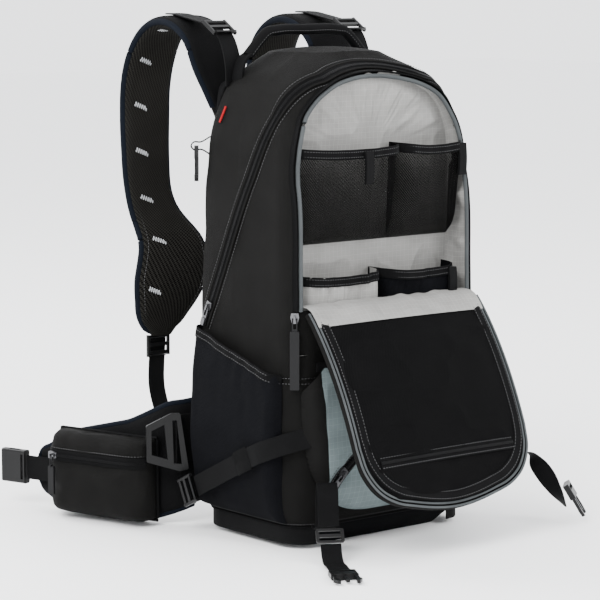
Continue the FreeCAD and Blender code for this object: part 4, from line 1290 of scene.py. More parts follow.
@dataclass
class Organiser(Assembly):
    """The open front: its bound rim, gathered liner, divider and four pockets.

    Args:
        rim: radius of the rim's piping, in millimetres.
        tape: width of the opening's zip tape.
        gather: height of the gathers in the recess's wall.
        pleat: height of the divider's pleats under the arch.
        hem: width of the pockets' elastic hems.
    """

    rim: float = 2.1
    tape: float = 9.0
    gather: float = 3.0
    pleat: float = 3.2
    hem: float = 9.5

    def build(self) -> None:
        """Makes the recess, then its pockets."""
        self._recess()
        self._pockets()

    def _recess(self) -> None:
        """Makes the opening's piping and zip tape, and the liner: wall, pleated divider and floor."""
        rim = opening_outline(HINGE_Z - 1, 0.5)
        y = self.form.front(rim[:, 0], rim[:, 1])
        edge = np.stack([rim[:, 0], y - 0.8, rim[:, 1]], axis=1)
        outer = opening_outline(HINGE_Z - 1, 5.0)
        welt = np.stack([outer[:, 0], self.form.front(outer[:, 0], outer[:, 1]) - 1.0, outer[:, 1]], axis=1)
        self.shop.make("opening_piping", tube(edge, self.rim, 12), TAPE_GREY, replaces=["opening_binding"])
        tape = ring_loft(sections(welt, [0, 1, 0.0001], oval(self.tape, 1.6, 12, 5)))
        self.shop.make("opening_zip_tape", tape, TAPE_BLACK)
        self.shop.make("opening_stitching", stitches(welt - [0, 1.0, 0], [0, -1, 0]), THREAD)
        loop = opening_outline(ORGANISER_FLOOR, 0.0, 90)
        s = run_length(np.concatenate([loop, loop[:, :1] * 0], axis=1))[:, None]
        t = np.linspace(0, 1, 26)[None]
        near = self.form.front(loop[:, 0], np.maximum(loop[:, 1], HINGE_Z))[:, None] + 1.5
        deep = panel_y(loop[:, 1])[:, None] + 0.5
        depth = near * (1 - t) + deep * t
        at = np.stack([s * np.ones_like(t), depth, 0 * s * t], axis=-1)
        gather = self.gather * value_noise(at * [1, 0.3, 1], 8, 21) + 2.6 * value_noise(at, 26, 22)
        gather = gather * np.sin(np.pi * t)
        spread = 1 + (np.sin(np.pi * t) * 3.0 + gather) / 110
        middle = np.array([0, 330.0])
        flat = middle + (loop[:, None] - middle) * spread[..., None]
        wall = np.stack([flat[..., 0], depth, flat[..., 1]], axis=-1)
        x, z = np.meshgrid(np.linspace(-114, 114, 150), np.linspace(188, 456, 170))
        sheet = np.stack([x, panel_y(z), z], axis=-1)
        reach = edge_distance(sheet[..., [0, 2]], loop)
        turn = np.arctan2(z - 372, x) * 105
        pleats = np.abs(value_noise(np.stack([turn, reach * 0.22, 0 * x], -1), 9.5, 35))
        bumps = (1.2 * value_noise(sheet, 30, 31) + 2.0 * creases(sheet, (1, 1, 1.6), 26, 33)
                 + self.pleat * pleats * np.clip(1.4 - reach / 48, 0, 1) * np.clip((z - 385) / 25, 0, 1))
        sheet[..., 1] -= np.clip(bumps, 0, 3.4) * np.clip(reach / 12, 0, 1)
        panel = Skin.grid(sheet, sheet[..., [0, 2]])
        panel = panel.kept(edge_distance(panel.points[:, [0, 2]], loop) + 1.5)
        x, y = np.meshgrid(np.linspace(-110, 110, 30), np.linspace(-88, -49, 10))
        floor = np.stack([x, y, np.full(x.shape, float(ORGANISER_FLOOR))], -1)
        liner = Skin.joined([Skin.grid(wall), panel, Skin.grid(floor)])
        self.shop.make("organiser_liner", liner, LINER, replaces=["organiser_panel"])

    def _pocket(self, spec: PocketSpec) -> tuple[Skin, Array]:
        """Makes a slack bellied wall that sags between its ends, and works out the elastic hem along its top.

        Args:
            spec: the pocket.

        Returns:
            The hem's mesh, and its middle line.
        """
        u, v = np.meshgrid(np.linspace(-1, 1, 90), np.linspace(0, 1, 70))
        x = (spec.left + spec.right) / 2 + (spec.right - spec.left) / 2 * u
        z = spec.bottom + (spec.top - spec.bottom) * v
        belly = (1 - np.abs(u) ** 7) ** 0.6 * (1 - (1 - v) ** 6) ** 0.7
        at = np.stack([x, z * 0.35, 0 * x], axis=-1)
        fine = 4.2 if spec.finish is MESH else 6.5
        pleat = (2.0 if spec.finish is LINER else 1.0) * (
            1.3 * value_noise(at, 8.5, spec.seed) + 1.1 * np.abs(value_noise(at * [1, 0, 0.5], fine, spec.seed + 5)))
        pleat = pleat * np.clip(v * 1.4 - 0.15, 0, 1)
        slack = 2.6 * value_noise(np.stack([x, z, 0 * x], -1), 30, spec.seed + 1)
        y = panel_y(z) - 1.4 - spec.depth * belly - (pleat + slack) * belly
        sag = 3.5 * (1 - u ** 2) * v ** 4
        wall = np.stack([x, y, z - sag], axis=-1)
        piece = self.shop.make(spec.name, Skin.grid(wall), spec.finish, replaces=spec.replaces)
        self._declare(piece, wall)
        line = wall[-1] - [0, 0, 4.4]
        line = smooth_line(line[::6], 120)
        band = ring_loft(sections(line + [0, -0.7, 0], [0, 0.05, 1], oval(self.hem, 2.2, 14, 4)))
        return band, line

    @staticmethod
    def _declare(obj: bpy.types.Object, grid: Array) -> None:
        """Takes a piece and its grid of points, and does nothing with them.

        Args:
            obj: the piece; not used.
            grid: its (rows, columns, 3) points, in millimetres; not used.
        """

    def _pockets(self) -> None:
        """Makes the four pockets, their hems with two rows of stitches, and the finger tabs."""
        hems, lines = [], []
        for spec in ORGANISER_POCKETS:
            hem, line = self._pocket(spec)
            hems.append(hem)
            lines.append(line)
        self.shop.make("pocket_elastic", Skin.joined(hems), TAPE_BLACK, replaces=["pocket_hems"])
        rows = [stitches(line + [0, -1.95, k], [0, -1, 0], 2.8, 0.35) for line in lines for k in (-2.6, 2.4)]
        self.shop.make("pocket_stitching", Skin.joined(rows), THREAD)
        tabs = []
        for line, x in ((lines[0], -26), (lines[1], 101), (lines[3], 88)):
            spot = line[np.abs(line[:, 0] - x).argmin()]
            points = spot + np.array([[0, -2.6, 2.5], [0, -3.6, -6], [0, -3.4, -24], [0, -2.8, -29]])
            tabs.append(strap(points, 10, [1, 0, 0], 1.6, 30))
            tabs.append(strap(points + [0, -1.7, 0], 10, [1, 0, 0], 1.3, 30))
        self.shop.make("finger_tabs", Skin.joined(tabs), WEBBING)


@dataclass
class Flap(Assembly):
    """The hanging front flap with its lining, pocket zip, bound edge, outer face and hinge gusset.

    Args:
        half: half its width, in millimetres.
        length: from hinge to tip.
        bow: how far it bows out of its plane.
        gusset: how far the grey gusset reaches over it.
        zip_row: the pocket zip's distance from the hinge.
        closed: its share of thickness when it is closed; not used.
    """

    half: float = 111.0
    length: float = 210.0
    bow: float = 19.0
    gusset: float = 19.0
    zip_row: float = 158.0
    closed: float = 0.25

    def build(self) -> None:
        """Makes the flap's cloths, edges and pocket zip on its bowed face, then its gusset."""
        half, length, normal = self.half, self.length, FLAP_AXES[2]
        outline = self._outline(half, length)
        x, y = np.meshgrid(np.linspace(-half, half, 130), np.linspace(0, length + 1, 150))
        inner = edge_distance(np.stack([x, y], -1), outline)
        local = np.stack([x, y, self._bulge(x, y)], axis=-1)
        loose = 1.6 * value_noise(local, 34, 81) + 1.8 * creases(local, (2.2, 1, 1), 26, 83)
        loose = loose * np.clip((y - 18) / 22, 0, 1)
        lining = local + [0, 0, 1] * (1.0 + np.clip(loose, -1, 3) * np.clip(inner / 18, 0, 1))[..., None]
        back = local + [0, 0, 1] * (-4.6 - 0.8 * value_noise(local, 50, 85))[..., None]
        keep = inner - 2.0
        grid = Skin.grid(to_world(lining), local[..., :2], flip=True)
        face = grid.kept(np.minimum(keep, y - 16).ravel())
        outer = Skin.grid(to_world(back), local[..., :2]).kept(keep.ravel())
        self._make("flap_lining", face, MESH_SOLID, ["flap_mesh_pocket"])
        self._make("flap_outer", outer, NYLON, ["flap_panel"])
        rim = self._lifted(self._outline(half - 3.4, length - 3.4), -2.4)
        edge = self._lifted(self._outline(half - 12.5, length - 12.5), 1.2)
        grey = self._lifted(self._outline(half - 3.6, length - 3.6), 1.4)
        across = unit(np.cross(np.gradient(edge, axis=0), normal))
        binding = ring_loft(sections(edge, across, oval(11, 2.6, 18, 4)))
        self._make("flap_edge_binding", binding, TAPE_BLACK, ["flap_binding"])
        turn = unit(np.cross(np.gradient(rim, axis=0), normal))
        self._make("flap_edge_wall", ring_loft(sections(rim, turn, oval(6.4, 6.4, 16, 3))), NYLON)
        pair = []
        for shift in (-2.0, 2.0):
            side = unit(np.cross(np.gradient(grey, axis=0), normal))
            pair.append(ring_loft(sections(grey + side * shift, side, oval(2.3, 1.4, 10, 3))))
        self._make("flap_grey_tape", Skin.joined(pair), TAPE_GREY)
        sewn = [stitches(edge + normal * 1.3 + across * k, normal) for k in (-3.6, 3.6)]
        self._make("flap_stitching", Skin.joined(sewn), THREAD)
        band_x = np.linspace(-86, 86, 60)
        band = self._lifted(np.stack([band_x, np.full(60, self.zip_row)], 1), 1.6)
        tape = ring_loft(sections(band, FLAP_AXES[1], oval(13, 1.6, 14, 5)))
        coil = ring_loft(sections(band + normal * 1.1, FLAP_AXES[1], oval(3.2, 1.4, 10, 3)))
        self._make("flap_pocket_zip", tape, TAPE_BLACK, ["flap_zip_tape"])
        self._make("flap_pocket_coil", coil, COIL)
        lines = [stitches(band + normal * 1.1 + FLAP_AXES[1] * k, normal) for k in (-4.8, 4.8)]
        self._make("flap_pocket_stitching", Skin.joined(lines), THREAD)
        self._gusset()

    def _make(self, name: str, skin: Skin, finish: Finish, replaces: Sequence[str] = ()) -> None:
        """Makes a piece of the flap that rides on the flap's body, with a mesh of its own."""
        obj = self.shop.make(name, skin, finish, "flap", replaces)
        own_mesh(obj)

    def _bulge(self, x: Array, y: Array) -> Array:
        """How far the flap bows out: a half sine down its length, lower towards its sides."""
        t = np.clip(y / self.length, 0, 1)
        return self.bow * np.sin(np.pi * t ** 0.85) ** 0.9 * (1 - 0.35 * (np.abs(x) / self.half) ** 2)

    def _lifted(self, run: Array, lift: float) -> Array:
        """Sets points of an outline on the bowed face."""
        local = np.stack([run[:, 0], run[:, 1], self._bulge(run[:, 0], run[:, 1]) + lift], axis=1)
        return smooth_line(to_world(local), 240)

    @staticmethod
    def _outline(half: float, tip: float) -> Array:
        """The flap's arched outline in its own plane, from one hinge corner round the tip to the other.

        Args:
            half: half its width.
            tip: its length.

        Returns:
            The (n, 2) points.
        """
        sweep = [(1.0, 64), (0.97, 43), (0.85, 23), (0.68, 12), (0.5, 7)]
        falling = [(-share * half, tip - drop) for share, drop in sweep]
        rising = [(share * half, tip - drop) for share, drop in reversed(sweep)]
        arch = smooth_line([*falling, (0, tip), *rising], 80)
        rise = np.linspace(3, tip - 64, 24, endpoint=False)
        left = np.stack([np.full(24, -half), rise], axis=1)
        return np.concatenate([left, arch, left[::-1] * [-1, 1]])

    def _gusset(self) -> None:
        """Makes the grey cloth strip that joins the flap to the bag and bends between the two."""
        x, t = np.meshgrid(np.linspace(-107, 107, 110), np.linspace(-0.45, 1, 34))
        y = self.gusset * t
        local = np.stack([x, y, self._bulge(x, np.maximum(y, 0)) + 2.2], axis=-1)
        points = to_world(local)
        into = t < 0
        points[..., 1] = np.where(into, HINGE_Y + 2 + 26 * -t, points[..., 1])
        points[..., 2] = np.where(into, HINGE_Z + 3 - 3 * t, points[..., 2])
        fade = np.clip((1 - t) * 2.5, 0, 1)
        points[..., 2] += 1.6 * value_noise(points * [1, 0.3, 0.3], 11, 91) * fade
        points[..., 1] -= np.abs(1.8 * value_noise(points * [1, 0.3, 0.3], 16, 92)) * fade
        obj = self.shop.make("flap_hinge_gusset", Skin.grid(points, local[..., :2]), LINER, None, ["flap_gusset"])
        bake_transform(obj)


@dataclass
class StashPocket(Assembly):
    """The ripstop stash pocket in front, with its side strips, arched zip and open top hem.

    Args:
        zip_radius: radius of the zip's arch, in millimetres.
        zip_centre: height of the arch's centre.
        seam: how far in from its edge the cloth reaches its full height.
        fold: height of its folds.
    """

    zip_radius: float = 108.0
    zip_centre: float = -4.0
    seam: float = 16.0
    fold: float = 1.5

    def build(self) -> None:
        """Makes the pocket as a low pillow over its outline, and dresses its zip."""
        left = [(-110, 182), (-106, 80), (-86, 48), (-62, 32)]
        outline = np.array(left + [(-x, z) for x, z in reversed(left)], float)
        outline = softened(outline, 160, 9)
        x, z = np.meshgrid(np.linspace(-111, 111, 170), np.linspace(27, 183, 130))
        inside = edge_distance(np.stack([x, z], -1), outline)
        crown = np.interp(z, [20, 30, 60, 140, 183], [-95, -98, -106, -106, -99.5])
        body = self.form.front(x, z)
        t = np.clip(inside / self.seam, 0, 1)
        open_top = np.clip((z - 150) / 20, 0, 1) * np.clip((108 - np.abs(x)) / 10, 0, 1)
        t = np.maximum(t, open_top)
        t = np.sqrt(np.clip(t * (2 - t), 0, 1))
        y = (body - 1.0) * (1 - t) + crown * t
        at = np.stack([x, y, z], -1)
        rad = np.hypot(x, z - self.zip_centre)
        zip_gap = np.clip(np.abs(rad - self.zip_radius) / 9, 0, 1)
        cloth = (self.fold * value_noise(at, 44, 101) + self.fold * creases(at, (1, 1, 0.45), 34, 103)) * zip_gap
        wall = np.stack([x, y - np.clip(cloth, -1, 3) * t, z], -1)
        skin = Skin.grid(wall, wall[..., [0, 2]])
        side = np.abs(skin.points[:, 0]) - np.interp(skin.points[:, 2], [27, 90, 183], [80, 91, 97])
        keep = inside.ravel() + 0.5
        self.shop.make("stash_pocket_front", skin.kept(np.minimum(keep, -side)), STASH, replaces=["stash_pocket"])
        self.shop.make("stash_pocket_sides", skin.kept(np.minimum(keep, side)), NYLON)
        top = wall[-1][8:-8]
        hem = ring_loft(sections(top + [0, 0.2, -3.5], [0, 0, 1], oval(8.5, 2.4, 14, 4)))
        self.shop.make("stash_hem", hem, TAPE_BLACK)
        a = np.radians(np.linspace(142, 38, 160))
        arc = np.stack([self.zip_radius * np.cos(a), np.full(160, -106.4),
                        self.zip_centre + self.zip_radius * np.sin(a)], 1)
        arc[:, 1] -= 0.3
        out = unit(np.stack([np.cos(a), 0 * a, np.sin(a)], 1))
        face = [0, -1.0, 0]
        self.shop.make("stash_zip_tape", ring_loft(sections(arc, out, oval(12, 1.3, 14, 6))), TAPE_BLACK)
        self.shop.make("stash_zip_coil", ring_loft(sections(arc + [0, -0.8, 0], out, oval(3.2, 1.2, 10, 3))), COIL)
        rows = [stitches(arc + out * k + [0, -0.6, 0], face) for k in (-4.9, 4.9, 8.2)]
        self.shop.make("stash_stitching", Skin.joined(rows), THREAD)


@dataclass
class SidePockets(Assembly):
    """The stretch side pockets with sloping elastic hems, and the strap, keeper and lock web over each.

    Args:
        front: the front edge, in millimetres.
        rear: the rear edge.
        webbing: the compression strap's width.
        slope: the strap's fall towards the rear, in degrees.
    """

    front: float = -72.0
    rear: float = 58.0
    webbing: float = 20.0
    slope: float = 26.0

    def build(self) -> None:
        """Makes each pocket as cloth drawn over a bulge, and lays the strap over it."""
        y, v = np.meshgrid(np.linspace(self.front, self.rear, 90), np.linspace(0, 1, 90))
        top = 169 + (206 - 169) * (y - self.front) / (self.rear - self.front)
        z = 25 + (top - 25) * v
        heights, reaches = BULGE_STATIONS[:, 0], BULGE_STATIONS[:, 1:]
        bulge = hermite(heights, reaches, np.gradient(reaches, heights, axis=0), z.ravel()).reshape(z.shape)
        body = self.form.side(y, z)
        edge = np.minimum.reduce([(y - self.front) / 12, (self.rear - y) / 12, (z - 25) / 14])
        t = np.clip(edge, 0, 1)
        t = np.sqrt(t * (2 - t))
        at = np.stack([y, z * 0.3, 0 * y], -1)
        gather = 1.2 * value_noise(at, 8, 111) * v ** 3 + 1.7 * value_noise(np.stack([y, z, 0 * y], -1), 33, 113)
        reach = (body + 0.8) * (1 - t) + (bulge - 1.0 * v ** 8 + gather) * t
        skin = Skin.grid(np.stack([-reach, y, z], -1), np.stack([y, z], -1), flip=True)
        line = np.stack([-reach[-1], y[-1], z[-1]], -1)
        hem_line = smooth_line(line[::6] - [0.4, 0, 3.8], 140)
        hem = ring_loft(sections(hem_line, [0, -0.27, 0.96], oval(10, 2.6, 14, 4)))
        rows = Skin.joined([stitches(hem_line + [-1.4, 0, k], [-1, 0, 0]) for k in (-2.8, 2.8)])
        self.pair("side_pocket", skin, STRETCH, ["side_pockets"])
        self.pair("side_pocket_hem", hem, TAPE_BLACK)
        self.pair("side_pocket_stitching", rows, THREAD)
        c, s = math.cos(math.radians(self.slope)), math.sin(math.radians(self.slope))
        across = [0, s, c]
        path = self._placed([(-104, -103), (-113, -97), (-124, -89), (-134, -79), (-141.2, -66), (-141.6, -40),
                             (-141.6, 0), (-141.4, 38)], c, s)
        self.pair("compression_strap", strap(path, self.webbing, across, 1.5, 80), WEBBING, ["compression_straps"])
        keeper = self._placed([(-142.6, -55), (-143.6, -52), (-143.6, -36), (-142.6, -33)], c, s)
        self.pair("strap_keeper", strap(keeper, 23, across, 1.8, 30), TAPE_BLACK)
        tail = self._placed([(-141.8, 57), (-136, 66), (-126, 72), (-121, 74)], c, s)
        self.pair("lock_anchor", strap(tail, self.webbing, across, 1.5, 30), WEBBING)

    @staticmethod
    def _placed(points: Sequence, cosine: float, sine: float) -> Array:
        """Sets points of the strap's own plane on the bag."""
        rows = np.asarray(points, float)
        return np.stack([rows[:, 0], rows[:, 1] * cosine, 66 - rows[:, 1] * sine], 1)


@dataclass
class BackPanel(Assembly):
    """The foam back pads under spacer mesh, the yoke under the strap roots, and a small red edge tab.

    Args:
        pads: each pad's left, right, bottom, top and rearmost y, in millimetres.
        yoke: the same for the yoke.
        stuffing: how they are filled.
    """

    pads: tuple = (
        (-72, 72, 32, 132, 90), (-74, -18, 145, 268, 87), (18, 74, 145, 268, 87), (-74, -18, 278, 400, 85),
        (18, 74, 278, 400, 85))
    yoke: tuple = (-94, 94, 406, 446, 72.2)
    stuffing: Stuffing = Stuffing(4.5)

    def build(self) -> None:
        for number, place in enumerate(self.pads):
            skin = self._pad(*place, 121 + number)
            stands_for = ["back_pads"] if number == 0 else []
            obj = self.shop.make(f"back_pad_{number + 1}", skin, PAD_MESH, replaces=stands_for)
        yoke = self._pad(*self.yoke, 131)
        self.shop.make("yoke_pad", yoke, STRAP_CLOTH, replaces=["yoke_panel"])
        z = np.linspace(385, 432, 10)
        y = 40 - 0.2 * (z - 385)
        edge = np.stack([-self.form.side(y, z) - 0.4, y, z], 1)
        self.shop.make("red_edge_tab", strap(edge[4:8], 2.4, [0, 1, 0], 1.2, 24), RED)

    def _pad(self, x0: float, x1: float, z0: float, z1: float, top: float, seed: int) -> Skin:
        """Args:
            x0: its left edge.
            x1: its right edge.
            z0: its bottom.
            z1: its top.
            top: its rearmost y.
            seed: for its unevenness.

        Returns:
            The pad.
        """
        u, v = np.meshgrid(np.linspace(-1, 1, 70), np.linspace(-1, 1, 90))
        x, z = (x0 + x1) / 2 + (x1 - x0) / 2 * u, (z0 + z1) / 2 + (z1 - z0) / 2 * v
        base = self.form.back(x, z) - 1.0
        height = pillow(u, v, 7, 0.42)
        at = np.stack([x, 0 * x, z], -1)
        y = base + (top - base) * height * (0.93 + 0.07 * value_noise(at, 30, seed))
        front = Skin.grid(np.stack([x, y, z], -1), np.stack([x, z], -1), flip=True)
        rear = Skin.grid(np.stack([x, base, z], -1), np.stack([x, z], -1))
        pad = Skin.joined([front, rear])
        pad = self.stuffing.fill(pad, self._off_back)
        pad.points[:, 1] = np.clip(pad.points[:, 1], None, top + 1.5)
        pad.uv = pad.points[:, [0, 2]]
        return pad

    def _off_back(self, points: Array) -> Array:
        """How free points are to move: 0 on the bag, 1 from 5.5 mm off it."""
        return np.clip((points[:, 1] - self.form.back(points[:, 0], points[:, 2]) - 1.5) / 4, 0, 1)


@dataclass
class Harness(Assembly):
    """The padded shoulder straps with binding, bar tacks, load lifters, lower and sternum webbing.

    Args:
        thick: the pads' thickness, in millimetres.
        binding: the binding's radius.
        webbing: the webbing's width.
        spacing: how far the lifters and lower webbing are from the middle.
    """

    thick: float = 12.0
    binding: float = 3.3
    webbing: float = 20.0
    spacing: float = 85.0

    def build(self) -> None:
        """Makes each strap as a padded strip along its path, then the webbing on it."""
        path = smooth_line(np.array([
            (0, 72, 404), (0, 76, 424), (0, 81, 444), (0, 96, 484), (0, 112, 496), (0, 136, 502), (0, 160, 497),
            (0, 176, 484), (0, 188, 462), (0, 193, 438), (0, 193, 400), (0, 192, 372), (0, 186, 312), (0, 165, 264),
            (0, 160, 226), (0, 165, 200), (0, 170, 181)], float), 230)
        z = path[:, 2]
        falls = np.arange(len(z)) > z.argmax()
        low = np.interp(z, [181, 190, 203, 236, 258, 276, 300, 350, 400, 446, 500],
                        [-92, -108, -116, -121, -113, -106, -107, -111, -112, -110, -105])
        high = np.interp(z, [181, 190, 197, 224, 250, 276, 306, 328, 368, 430, 470, 500],
                         [-74, -62, -58, -38, -28, -29, -51, -57, -57, -54, -51, -52])
        low = np.where(falls, low, np.interp(z, [404, 430, 462, 500], [-82, -92, -104, -105]))
        high = np.where(falls, high, np.interp(z, [404, 500], [-58, -52]))
        kernel = np.ones(9) / 9
        low = np.convolve(np.pad(low, 4, "edge"), kernel, "valid")
        high = np.convolve(np.pad(high, 4, "edge"), kernel, "valid")
        skin, face = pad_strip(path, [1, 0, 0], low, high, self.thick, 3.0)
        inner = skin.kept(face + 0.05)
        outer = skin.kept(-face + 0.05)
        normal = unit(np.cross(np.gradient(path, axis=0), [1.0, 0, 0]))
        left = path + np.outer(low + 0.5, [1, 0, 0])
        right = path + np.outer(high - 0.5, [1, 0, 0])
        rim = np.concatenate([left[6:], right[6:][::-1]])
        soft = np.ones(7) / 7
        rim = np.stack([np.convolve(np.pad(rim[:, k], 3, "edge"), soft, "valid") for k in range(3)], axis=1)
        edge = smooth_line(rim[::5], 420)
        binding = tube(edge, self.binding, 12)
        sewn = [stitches((run + normal * k)[8:], (normal * np.sign(k))[8:])
                for run in (left + [5.2, 0, 0], right - [5.2, 0, 0]) for k in (5.0, -5.0)]
        tacks = self._bar_tacks(path, low, normal)
        for name, part, finish, replaces in (("strap_mesh", inner, SPACER, ["shoulder_straps"]),
                                             ("strap_face", outer, STRAP_CLOTH, []),
                                             ("strap_binding", binding, BINDING, []),
                                             ("strap_stitching", Skin.joined(sewn), THREAD, []),
                                             ("strap_bar_tacks", tacks, PALE_THREAD, [])):
            for side, twin in (("left", part), ("right", part.mirrored())):
                obj = self.shop.make(f"{name}_{side}", twin, finish, "harness", replaces if side == "left" else [])
        self._lifters()
        self._lower_webbing()
        spine = path + np.outer(np.full(len(path), -84.0), [1, 0, 0])
        run = spine[105:200] - normal[105:200] * 6.8
        self.pair_on_one("strap_daisy", strap(run[::6], self.webbing, [1, 0, 0], 1.4, 110), WEBBING, "harness")
        for side, run, carrier in (("left", [(-80, 172), (-66, 177), (-50, 177.7), (-28, 177.7)], "harness"),
                                   ("right", [(21, 177.7), (50, 177.7), (66, 177), (78, 173)], "sternum")):
            web = strap([(x, y, 254) for x, y in run], 20.6, [0, 0, 1], 1.9, 40)
            self.shop.make(f"sternum_web_{side}", web, WEBBING, carrier)

    @staticmethod
    def _bar_tacks(path: Array, low: Array, normal: Array) -> Skin:
        """Short zigzag bar tacks down the strap's outer edge, on both faces.

        Args:
            path: the strap's middle.
            low: its outer edge.
            normal: its unit normals.

        Returns:
            All the tacks.
        """
        picks = np.linspace(70, 205, 7).astype(int)
        tacks = []
        for k in picks:
            start = path[k] + [low[k] + 11, 0, 0]
            ahead = unit(path[k + 1] - path[k - 1])
            run = np.linspace(0, 1, 45)[:, None]
            zigzag = 2.6 * np.sin(run * np.pi * 11 + 0.3)
            for facing in (6.1, -6.1):
                line = start + normal[k] * facing + run * [15, 0, 0] + ahead * (run * 6 + zigzag)
                tacks.append(tube(line, 0.34, 5))
        return Skin.joined(tacks)

    def _lifters(self) -> None:
        """Makes the load lifters: webbing from the strap to its lock, and on down to the bag."""
        for side, name in ((-1, "left"), (1, "right")):
            x = side * self.spacing
            over = [(x, 142, 509.4), (x, 130, 509.0), (x, 112, 506.3), (x, 80, 501), (x, 70, 499.5)]
            up = strap(over, self.webbing, [1, 0, 0], 1.5, 60)
            self.shop.make(f"load_lifter_{name}", up, WEBBING, "harness", ["load_lifters"] if side < 0 else [])
            under = [(x, 44, 440), (x, 45, 458), (x, 49, 474), (x, 56, 487), (x, 62, 493.5)]
            down = strap(under, self.webbing, [1, 0, 0], 1.5, 60)
            obj = self.shop.make(f"lifter_anchor_{name}", down, WEBBING, None)
            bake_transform(obj)

    def _lower_webbing(self) -> None:
        """Makes the webbing from each shoulder strap's end down to the bag's lower corner."""
        for side, name in ((-1, "left"), (1, "right")):
            x = side * self.spacing
            line = [(x, 171.5, 178), (x, 173, 160), (x, 174, 150), (x, 174, 126), (x, 164, 100), (x, 140, 64),
                    (x, 108, 42), (x, 80, 25), (x, 70, 18)]
            web = strap(line, self.webbing, [1, 0, 0], 1.5, 130)
            stands_for = ["sewn_webbing"] if side < 0 else []
            obj = self.shop.make(f"strap_webbing_{name}", web, WEBBING, None, stands_for)
            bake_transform(obj)


